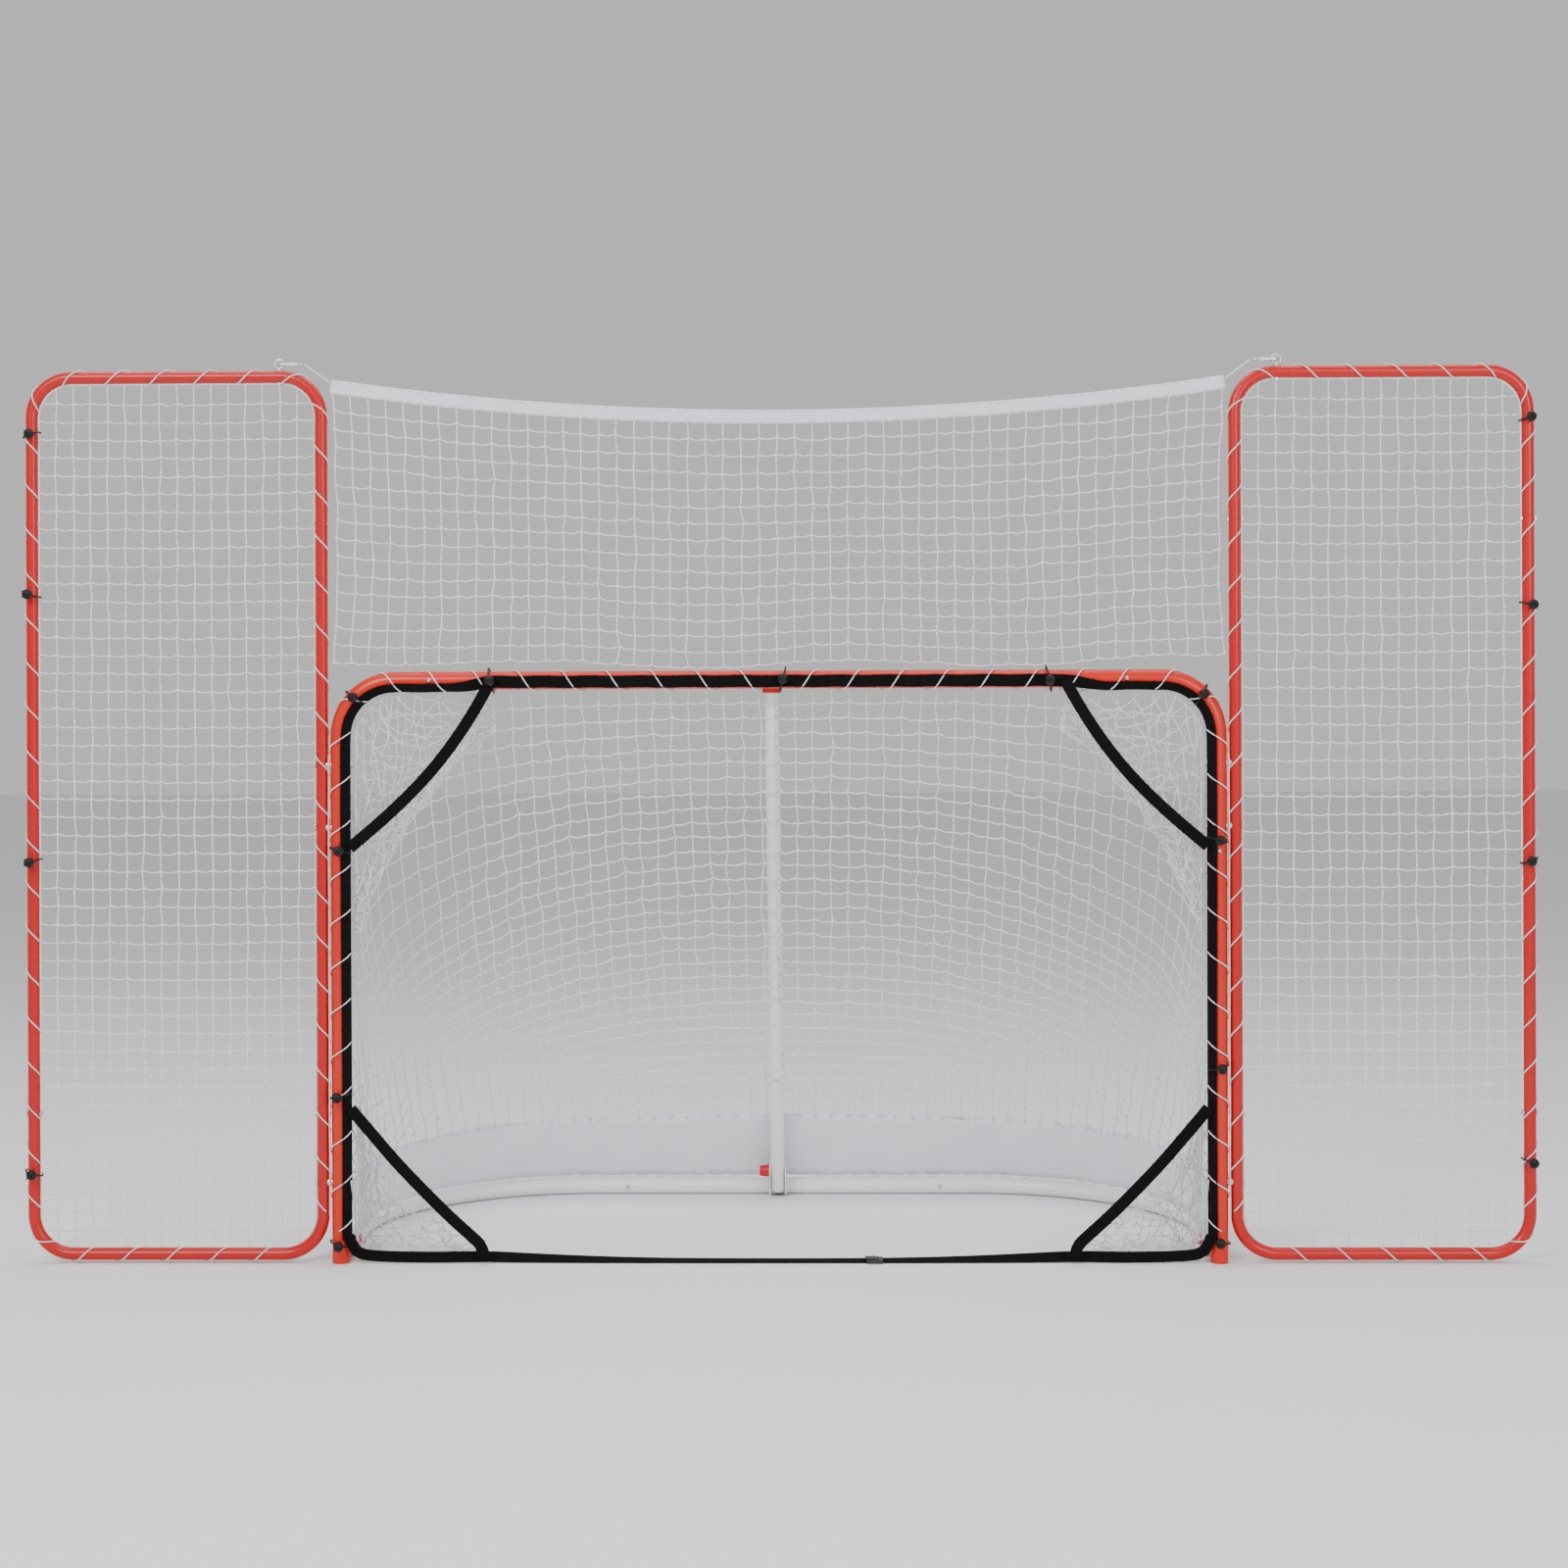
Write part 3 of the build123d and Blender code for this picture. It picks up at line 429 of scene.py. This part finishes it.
def section(s_along, z, out=0.0):
    """Point of the net's surface at arc length s_along from the middle, at height z. Positive s is to the right."""
    share = max(0.0, (NET_TOP - z) / (NET_TOP - NET_LOW))
    depth = NET_FRONT + (DEPTH - NET_FRONT + out) * share
    depth -= 0.05 * max(0, sin(pi * share)) ** 1.3 * (1 - 0.25 * min(1, abs(s_along) / 0.9))
    r = min(BEND_R, depth * 0.66)
    straight = NET_X + out - r
    a = abs(s_along)
    if a <= straight:
        x, y = a, depth
    elif a <= straight + r * pi / 2:
        q = (a - straight) / r
        x, y = straight + r * sin(q), depth - r + r * cos(q)
    else:
        x, y = NET_X + out, depth - r - (a - straight - r * pi / 2)
    return (x if s_along >= 0 else -x), y


def reach(z):
    """Arc length from the net's middle to its edge at a post, at height z."""
    share = max(0.0, (NET_TOP - z) / (NET_TOP - NET_LOW))
    depth = NET_FRONT + (DEPTH - NET_FRONT) * share
    depth -= 0.0375 * max(0, sin(pi * share)) ** 1.3
    r = min(BEND_R, depth * 0.66)
    return NET_X - r + r * pi / 2 + depth - r - 0.014


SKIRT_MID, SKIRT_SIDE = 0.212, 0.176


def skirt_top(s):
    """Height of the skirt's top edge at arc length s from the middle."""
    return SKIRT_MID - (SKIRT_MID - SKIRT_SIDE) * min(1, abs(s) / 0.95) ** 1.5


def goal_net():
    """The net of the back and sides, in two halves that meet at the middle."""
    rows_n = 36
    zs = [NET_TOP - (NET_TOP - NET_LOW) * j / rows_n for j in range(rows_n + 1)]
    knots, index = [], {}
    cmax = int(1.45 / MESH)
    for j, z in enumerate(zs):
        for i in range(-cmax, cmax + 1):
            s = i * MESH
            share = j / rows_n
            drop = CORNER_DROP * min(abs(s), 1.0) ** 2.6 * min(1, share / 0.32) ** 0.8
            low = z - drop
            if low < skirt_top(s) + 0.002 or abs(s) > reach(low) - 0.008:
                continue
            x, y = section(s, low)
            w = rng.normal(0, 0.0022, 3) * (1 if j else 0)
            ripple = 0.006 * sin(7 * s + 5 * share) * sin(pi * share)
            if abs(x - BRACE_X) < 0.03:
                y += 0.012
            index[i, j] = len(knots)
            knots.append(at(x + w[0], y + ripple + w[1], low + w[2]))
    rows, cols = links(index, 1, 0), links(index, 0, 1)
    extra = []
    for (i, j), k in index.items():
        way = 1 if i > 0 else -1
        z = knots[k][2]
        if i and (i + way, j) not in index:
            s = (i + 0.6 * way) * MESH
            if z - 0.02 < skirt_top(s) and abs(s) < reach(z):
                x, y = section(s, skirt_top(s) - 0.008)
                extra.append((knots[k], at(x, y, skirt_top(s) - 0.008)))
            else:
                extra.append((knots[k], at(way * (NET_X + 0.012), 0.014, z - 0.012)))
        if (i, j - 1) not in index and j > 0:
            extra.append((knots[k], at(way * (NET_X + 0.012), 0.014, min(z + 0.03, NET_TOP))))
        if (i, j + 1) not in index and j < rows_n:
            s = i * MESH
            x, y = section(s, skirt_top(s) - 0.008)
            extra.append((knots[k], at(x, y, skirt_top(s) - 0.008)))
    for side, sign in (("left", -1), ("right", 1)):
        pick = {k for (i, _), k in index.items() if i * sign >= 0}
        half_rows = [p for p in rows if p[0] in pick and p[1] in pick]
        half_cols = [p for p in cols if p[0] in pick and p[1] in pick]
        if sign < 0:
            # the middle column is the right half's
            half_cols = [p for p in half_cols if abs(knots[p[0]][0]) >= 0.01]
        half_extra = [e for e in extra if e[0][0] * sign > -0.01]
        name = f"goal_net_{side}_cords"
        replaced = [f"goal_net_{side}"] + (["goal_net_back"] if sign < 0 else [])
        o = net(
            name, knots, half_rows, half_cols, STRAND_R,
            replaced, half_extra,
        )
        fold_flat(o)


goal_net()


def skirt():
    """The cloth band round the net's foot, a thin closed shell with shallow folds."""
    ns, nz = 180, 9
    end = reach(0.1)
    ss = np.linspace(-end, end, ns)
    outer, inner = [], []
    for s in ss:
        for j in range(nz):
            top = skirt_top(s)
            z = top + (0.044 - top) * j / (nz - 1)
            x, y = section(s, z, 0.004)
            fold = 0.0022 * sin(37 * s + 0.9 * j) + 0.0016 * sin(83 * s + 2.0 * j / nz) * (j / nz)
            outer.append(at(x, y + fold, z))
            inner.append(at(x * 0.9992, y + fold - 0.0012, z))
    v = np.array(outer + inner)
    n = ns * nz
    faces = []
    for i in range(ns - 1):
        for j in range(nz - 1):
            a, b, c, d = i * nz + j, i * nz + j + 1, (i + 1) * nz + j + 1, (i + 1) * nz + j
            faces.append([a, d, c, b])
            faces.append([a + n, b + n, c + n, d + n])
    for i in range(ns - 1):
        for j in (0, nz - 1):
            a, b = i * nz + j, (i + 1) * nz + j
            faces.append([a, a + n, b + n, b] if j == 0 else [a, b, b + n, a + n])
    for i in (0, ns - 1):
        for j in range(nz - 1):
            a, b = i * nz + j, i * nz + j + 1
            faces.append([a, b, b + n, a + n] if i == 0 else [a, a + n, b + n, b])
    o = add_mesh("skirt_band", v, faces, "skirt_cloth")
    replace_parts(o, "skirt")
    fold_flat(o)


skirt()


# ---- target pockets ----------------------------------------------------------------------------------------
def frame_edge(u, upper):
    """Where a pocket's back edge runs along the frame: from the crossbar or floor to the post."""
    if upper:
        pts = [(0.609, 1.226), (0.78, 1.224), (0.86, 1.19), (0.905, 1.12), (0.912, 1.0), (0.912, 0.884)]
    else:
        pts = [(0.609, 0.004), (0.75, 0.004), (0.87, 0.006), (0.905, 0.03), (0.912, 0.15), (0.912, 0.331)]
    line = smooth_line([(x, 0, z) for x, z in pts], 6)
    k = u * (len(line) - 1)
    i = min(int(k), len(line) - 2)
    return line[i] + (line[i + 1] - line[i]) * (k - i)


def diagonal(u, upper):
    """Middle line of a diagonal's webbing, which bows a little towards the goal's centre."""
    if upper:
        bow = 0.027 * sin(pi * u**0.9)
        return np.array([0.609 + 0.299 * u - 0.66 * bow, 0, 1.236 - 0.352 * u - 0.75 * bow])
    bow = 0.010 * sin(pi * u)
    turn = max(0, 1 - u / 0.09) ** 2
    return np.array([0.612 + 0.296 * u + bow * 0.7 + 0.012 * turn, 0, 0.024 + 0.307 * u - bow * 0.7 - 0.016 * turn])


def pocket(level, side, s):
    """A bag of loose diamond mesh between a diagonal and the frame's corner."""
    upper = level == "upper"
    nu, nv = (28, 24) if upper else (28, 20)
    knots, index = [], {}
    for i in range(nu + 1):
        u = i / nu
        a, e = diagonal(u, upper), frame_edge(u, upper)
        for j in range(nv + 1):
            v = j / nv
            base = a + (e - a) * v
            belly = sin(pi * v) ** 0.8
            if upper:
                deep = (0.088 + 0.07 * u) * belly
                x = base[0] - 0.004 * belly
                y = 0.012 + 0.062 * belly * sin(pi * min(1, max(0.02, u))) ** 0.4
                z = base[2] - deep * 1.15
            else:
                full = sin(pi * min(0.97, max(0.03, u))) ** 0.5
                x = base[0] + 0.01 * belly
                y = 0.012 + 0.15 * belly * full
                z = base[2] - 0.05 * belly * full
            w = rng.normal(0, 0.0075, 3) * (0 < j < nv) * (0 < i < nu)
            x = min(x + w[0], 0.902)
            y = max(y + w[1], 0.0) + (-0.016 if j == 0 else 0)
            z = max(z + w[2], 0.004)
            index[i, j] = len(knots)
            knots.append(at(s * x, y, z))
    even_knots = {ij: k for ij, k in index.items() if sum(ij) % 2 == 0}
    rims = {ij: k for ij, k in index.items() if ij[1] in (0, nv)}
    o = net(
        f"pocket_{level}_{side}_cords", knots, links(even_knots, 1, 1) + links(rims, 1, 0), links(even_knots, 1, -1),
        POCKET_STRAND_R, [f"pocket_{level}_{side}"],
    )
    if not upper:
        fold_flat(o)


for side, s in (("left", -1), ("right", 1)):
    pocket("upper", side, s)
    pocket("lower", side, s)


# ---- webbing -----------------------------------------------------------------------------------------------
def stitches(p, nrm, width, step=0.03, r=0.00075):
    """Whip stitches over both edges of a run of webbing."""
    a, b = [], []
    p, nrm = np.asarray(p), np.asarray(nrm)
    t = np.gradient(p, axis=0)
    gone = 0.0
    for i in range(1, len(p) - 1):
        gone += np.linalg.norm(p[i] - p[i - 1])
        if gone < step:
            continue
        gone = 0.0
        d = t[i] / np.linalg.norm(t[i])
        w = np.cross(d, nrm[i])
        for side in (-1, 1):
            edge = p[i] + w * side * width / 2
            a.append(edge - w * side * 0.004 + nrm[i] * 0.0024)
            b.append(edge + w * side * 0.0016 + d * 0.004 - nrm[i] * 0.001)
    return prisms(a, b, r, 4)


def webbing():
    """The black webbing along the mouth's edges, over the pockets and on the floor, with its stitches."""
    made, thread = [], []
    lift = TUBE_R + 0.0016

    def lay(p, nrm, w=0.026):
        p, nrm = np.array(p), np.array(nrm, float)
        made.append(ribbon(p, nrm, w))
        thread.append(stitches(p, nrm, w))

    # one run over the crossbar: in front between the diagonals, then rolling down under the corner to the post
    p, nrm = [], []
    for x in np.linspace(-0.815, 0.815, 150):
        k = min(1, max(0, (abs(x) - 0.60) / 0.1))
        tilt = radians(8 + 40 * k * k * (3 - 2 * k))
        n = np.array([0, -cos(tilt), -sin(tilt)])
        p.append(at(x, 0, BAR_Z) + n * lift + np.array([0, 0, 0.0006 * sin(60 * x)]))
        nrm.append(n)
    lay(p, nrm)
    for s in (-1, 1):
        p, nrm = [], []
        for a in np.linspace(93, 2, 32):
            q = radians(a)
            out = np.array([s * cos(q), 0, sin(q)])
            centre = at(s * (POST_X - CORNER_R), 0, BAR_Z - CORNER_R) + out * CORNER_R
            tilt = radians(50)
            n = np.array([0, -cos(tilt), 0]) - out * sin(tilt)
            p.append(centre + n * lift)
            nrm.append(n)
        for z in np.linspace(BAR_Z - 0.13, 0.05, 130):
            tilt = radians(48 + 3 * sin(5 * z))
            n = np.array([-s * sin(tilt), -cos(tilt), 0])
            p.append(at(s * POST_X, 0, z) + n * lift)
            nrm.append(n)
        lay(p, nrm)
    o = add_mesh("edge_webbing", *join(made), "black_webbing")
    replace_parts(o, "webbing_edges")
    add_mesh("edge_stitches", *join(thread), "black_webbing")
    made.clear()
    thread.clear()
    for s in (-1, 1):
        for upper in (True, False):
            p, nrm = [], []
            for u in np.linspace(0, 1, 46):
                q = diagonal(u, upper)
                p.append(at(s * q[0], -0.0255 + 0.001 * sin(17 * u), q[2]))
                nrm.append((0, -1, 0))
            lay(p, nrm, 0.025)
    v, f = join(made)
    v[:, 2] = np.maximum(v[:, 2], 0.0008)
    o = add_mesh("diagonal_webbing", v, f, "black_webbing")
    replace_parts(o, "webbing_diagonals")
    v, f = join(thread)
    v[:, 2] = np.maximum(v[:, 2], 0.0006)
    add_mesh("diagonal_stitches", v, f, "black_webbing")
    made.clear()
    for x0, x1 in ((-0.609, 0.2085), (0.2155, 0.609)):
        xs = np.linspace(x0, x1, 60)
        lean = [radians(9 + 46 * (abs(x) / 0.609) ** 3) for x in xs]
        p = [at(x, 0, 0.0014 + 0.01225 * sin(q)) for x, q in zip(xs, lean)]
        made.append(ribbon(p, [(0, -sin(q), cos(q)) for q in lean], 0.0245, 0.0018, 0.0002))
    o = add_mesh("floor_strap", *join(made), "black_webbing")
    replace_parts(o, "goal_line_strap")
    # the strap's ends rise from the floor to the pockets' corners and the posts
    made.clear()
    thread.clear()
    for s in (-1, 1):
        rise = [
            (s * 0.603, -0.001, 0.0117), (s * 0.66, -0.005, 0.0124), (s * 0.75, -0.012, 0.013),
            (s * 0.86, -0.016, 0.017), (s * 0.897, -0.0185, 0.028), (s * 0.914, -0.0225, 0.06),
        ]
        p = [at(*q) for q in smooth_line(rise, 8)]
        lean = [0.96 + 0.49 * min(1, 2.4 * k) for k in np.linspace(0, 1, len(p))]
        lay(p, [(0, -sin(q), cos(q)) for q in lean], 0.0235)
    v, f = join(made)
    v[:, 2] = np.maximum(v[:, 2], 0.0008)
    o = add_mesh("foot_webbing", v, f, "black_webbing")
    v, f = join(thread)
    v[:, 2] = np.maximum(v[:, 2], 0.0006)
    add_mesh("foot_stitches", v, f, "black_webbing")


webbing()


# ---- ball bungees ------------------------------------------------------------------------------------------
def bungees():
    """Ball bungees: a loop round a tube, pinched in front, and a ball with the loop's knot and two tails."""
    turn = CORNER_R * (1 - sin(pi / 4))
    spots = [((x, BAR_Z), (1, 0), TUBE_R, 0.0055) for x in (-0.609, 0.012, 0.576)]
    for s, zs in ((-1, (0.04, 0.355, 0.878)), (1, (0.046, 0.414, 0.896))):
        spots += [((s * POST_X, z), (0, 1), TUBE_R, 0.0022) for z in zs]
        spots.append(((s * (POST_X - turn), BAR_Z - turn), (0.707, -0.707 * s), TUBE_R, 0.003))
    for s, zs in ((-1, (0.191, 0.855, 1.425, 1.766)), (1, (0.214, 0.85, 1.391, 1.787))):
        spots += [((s * WING_OUT, z), (0, 1), WING_R, 0.0035) for z in zs]
    balls, loops = [], []
    for n, ((x, z), (ax, az), r, gap) in enumerate(spots):
        along = np.array([ax, 0, az], float)
        side = np.cross(along, [0, 1, 0])
        big = r + gap + 0.0018
        c = at(x, -(r + gap + 0.0036 + 0.011), z) + side * 0.003 * sin(2.1 * n)
        lat, lon = 12, 18
        v = []
        for i in range(lat + 1):
            th = pi * i / lat
            rad = 0.011 * (1 - 0.12 * cos(th) ** 8)
            for j in range(lon):
                ph = 2 * pi * j / lon
                v.append(c + rad * (np.array([0, 1, 0]) * cos(th) + sin(th) * (along * cos(ph) + side * sin(ph))))
        f = []
        for i in range(lat):
            for j in range(lon):
                after = (j + 1) % lon
                f.append([i * lon + j, i * lon + after, (i + 1) * lon + after, (i + 1) * lon + j])
        f += [list(range(lon))[::-1], [lat * lon + j for j in range(lon)]]
        balls.append((np.array(v), f))
        bent = []
        for k in range(40):
            q = 2 * pi * k / 40
            pinch = max(0, -cos(q)) ** 5
            spread = 0.0058 * sin(q) * (1 if n % 2 else -1)
            y = big * cos(q) - pinch * 0.006
            bent.append(at(x, y, z) + side * big * sin(q) * (1 - 0.25 * pinch) + along * spread)
        loops.append(tube(bent, 0.0018, 8, closed=True))
        turns = np.linspace(0, 2 * pi, 13)[:-1]
        knot = [c + np.array([0, -0.0118, 0]) + 0.0026 * (along * cos(q) + side * sin(q)) for q in turns]
        loops.append(tube(knot, 0.0015, 6, closed=True))
        for e in (-1, 1):
            tail = [
                c + np.array([0, -0.0115, 0]),
                c + np.array([0, -0.0135, 0]) + along * 0.003 * e + side * 0.003,
                c + np.array([0, -0.0122, 0]) + along * 0.007 * e + side * 0.0075,
            ]
            loops.append(tube(smooth_line(tail, 4), 0.0014, 6))
    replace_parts(add_mesh("balls", *join(balls), "black_rubber"), "bungee_balls")
    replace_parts(add_mesh("ball_loops", *join(loops), "black_rubber"), "bungee_loops")


bungees()


# ---- lacing ------------------------------------------------------------------------------------------------
LAY, LACE_R, PITCH = 0.0135, 0.0015, 0.0946  # PITCH is along the tube, for each turn round it


def even(points, step):
    """Points a step apart along the line through the given ones."""
    p = np.asarray(points, float)
    gone = np.concatenate([[0], np.cumsum(np.linalg.norm(np.diff(p, axis=0), axis=1))])
    at_s = np.linspace(0, gone[-1], max(2, round(gone[-1] / step) + 1))
    return np.stack([np.interp(at_s, gone, p[:, k]) for k in range(3)], 1)


def rope(points, r=LACE_R):
    """A laid cord of three strands, which turn once in each LAY."""
    return tube(even(points, LAY / 9), r * 0.95, 9, twist=2 * pi / 9, lobes=0.13)


def rounded(corners, r):
    """Runs at right angles, joined by arcs."""
    p = [np.array(q, float) for q in corners]
    out = [p[0]]
    for a, b, c in zip(p, p[1:], p[2:]):
        d, e = (b - a) / np.linalg.norm(b - a), (c - b) / np.linalg.norm(c - b)
        out += [b + (e - d) * r - e * r * cos(q) + d * r * sin(q) for q in np.linspace(0, pi / 2, 60)]
    return even(out + [p[-1]], 0.003)


def wound(line, side_way, reach, pitch, phase, hand=1, outside=None):
    """A cord that winds round a line, reach away from it, or outside away where it passes the line's outside."""
    t = np.gradient(line, axis=0)
    t /= np.linalg.norm(t, axis=1)[:, None]
    across = np.tile(np.array(side_way, float), (len(line), 1))
    other = np.cross(t, across) * hand
    gone = np.concatenate([[0], np.cumsum(np.linalg.norm(np.diff(line, axis=0), axis=1))])
    q = (2 * pi * (gone / pitch + phase))[:, None]
    far = reach + ((outside or reach) - reach) * np.maximum(0, np.sin(q)) ** 4
    return line + (across * np.cos(q) + other * np.sin(q)) * far


def lacing():
    """Cords that hold the nets on the wings, the goal's frame and the base, and the hem's two ties."""
    plane = at(0, 0, 0)
    made = {"lacing_wings": [], "lacing_goal": [], "lacing_base": []}
    for s in (-1, 1):
        place = [s, 1, 1]
        corners = [
            (WING_IN, 0, 0.11), (WING_IN, 0, WING_HIGH), (WING_OUT, 0, WING_HIGH), (WING_OUT, 0, WING_LOW),
            (WING_IN + 0.09, 0, WING_LOW),
        ]
        run = wound(rounded(corners, 0.085), (0, 1, 0), WING_R + LACE_R + 0.0006, PITCH, 0.25 - 0.079 / PITCH)
        made["lacing_wings"].append(rope(run * place + plane))
        line = rounded([(0.04, 0, BAR_Z), (POST_X, 0, BAR_Z), (POST_X, 0, 0.07)], CORNER_R)
        length = np.linalg.norm(np.diff(line, axis=0), axis=1).sum()
        turns = (length + 0.07 - 0.1417) / PITCH
        run = wound(line, (0, -1, 0), TUBE_R + 0.0046, PITCH, 0.25 - turns, -1, TUBE_R + LACE_R + 0.0004)
        made["lacing_goal"].append(rope(run * place + plane))
        gap = POST_X + TUBE_R + 0.00275
        z = np.linspace(0.102, 1.079, 260)
        run = np.stack([gap + 0.0003 * np.sin(23 * z), -0.0125 + 0.0002 * np.cos(31 * z), z], 1)
        made["lacing_goal"].append(rope(run * place + plane))
        start, z = BRACE_X + s * 0.08, 2 * TUBE_R + LACE_R + 0.0044
        line = rounded([(start, DEPTH, z), (s * POST_X, DEPTH, z), (s * POST_X, 0.18, z)], 0.48)
        made["lacing_base"].append(rope(wound(line, (0, 0, 1), 0.0036, 0.045, 0) + plane))
    for name, parts in made.items():
        body = "base_frame" if name == "lacing_base" else "front_frame"
        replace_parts(add_mesh(name + "_cord", *join(parts), "white_cord", body), name)
    # the hem's two ends are tied to the snap hooks
    for side, s in (("left", -1), ("right", 1)):
        eye, corner = at(s * 1.0057, 0, 1.914), at(s * (HEM_X + 0.0022), 0, HEM_TOP - 0.006)
        line = [corner, corner + (eye - corner) * 0.5, eye]
        o = add_mesh(f"hem_tie_{side}", *rope(line, 0.002), "white_cord")
        if s < 0:
            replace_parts(o, "hem_tie_cords")


lacing()


# ---- small ties of the net to the brace --------------------------------------------------------------------
def brace_ties():
    """Each tie goes round the brace. The lower ones travel up with the sleeve, the upper ones stay on the tube."""
    on_tube, on_sleeve = [], []
    lean = radians(BRACE_LEAN)
    for k in range(2, 26, 2):
        z = 1.13 - k * 0.034
        share = (1.222 - z) / 1.202
        y = 0.042 + (0.706 - 0.042) * share
        r = 0.0185 if share < 0.738 else 0.02
        ring = []
        for q in np.linspace(0, 2 * pi, 17)[:-1]:
            back = (r + 0.003) * sin(q) * cos(lean) + 0.004
            ring.append(at(BRACE_X + r * cos(q), y + back, z + r * sin(q) * sin(lean)))
        (on_sleeve if z < 0.6 else on_tube).append(tube(ring, 0.0012, 6, closed=True))
    add_mesh("brace_ties", *join(on_tube), "white_cord", "brace_upper")
    add_mesh("brace_ties_sleeve", *join(on_sleeve), "white_cord", "brace_lower")


brace_ties()

# ---- stage, light and camera -------------------------------------------------------------------------------
bpy.ops.mesh.primitive_plane_add(size=30, location=(0, 8, -0.0008))
floor = bpy.context.object
floor_paint = bpy.data.materials.new("pale floor")
floor_paint.use_nodes = True
floor_shader = floor_paint.node_tree.nodes["Principled BSDF"]
floor_shader.inputs["Base Color"].default_value = (0.83, 0.83, 0.84, 1)
floor_shader.inputs["Roughness"].default_value = 0.9
floor.data.materials.append(floor_paint)


def lamp(name, where, size, power, aim=(0, FRONT, 0.9)):
    """A soft rectangular light that looks at the goal's middle."""
    data = bpy.data.lights.new(name, "AREA")
    data.shape = "RECTANGLE"
    data.size, data.size_y = size
    data.energy = power
    o = bpy.data.objects.new(name, data)
    bpy.context.scene.collection.objects.link(o)
    o.location = where
    o.rotation_euler = (Vector(aim) - Vector(where)).to_track_quat("-Z", "Y").to_euler()
    return o


lamp("key", (-2.6, -5.0, 4.2), (2.2, 2.2), 230)
lamp("fill", (3.2, -4.8, 2.6), (2.6, 2.6), 130)
lamp("top", (0, 0.4, 5.0), (5, 3), 150)
world = bpy.data.worlds.new("studio")
world.use_nodes = True
background = world.node_tree.nodes["Background"]
background.inputs["Color"].default_value = (1, 1, 1, 1)
background.inputs["Strength"].default_value = 0.6
bpy.context.scene.world = world

view = bpy.data.cameras.new("camera")
view.sensor_width = 36
view.lens = 59.5
view.shift_x = 0.0043
view.shift_y = -0.065
eye = bpy.data.objects.new("camera", view)
bpy.context.scene.collection.objects.link(eye)
yaw, away = radians(0.9), 5.51
eye.location = (away * sin(yaw), FRONT - away * cos(yaw), 1.233)
eye.rotation_euler = (radians(90), radians(0.2), yaw)
bpy.context.scene.camera = eye
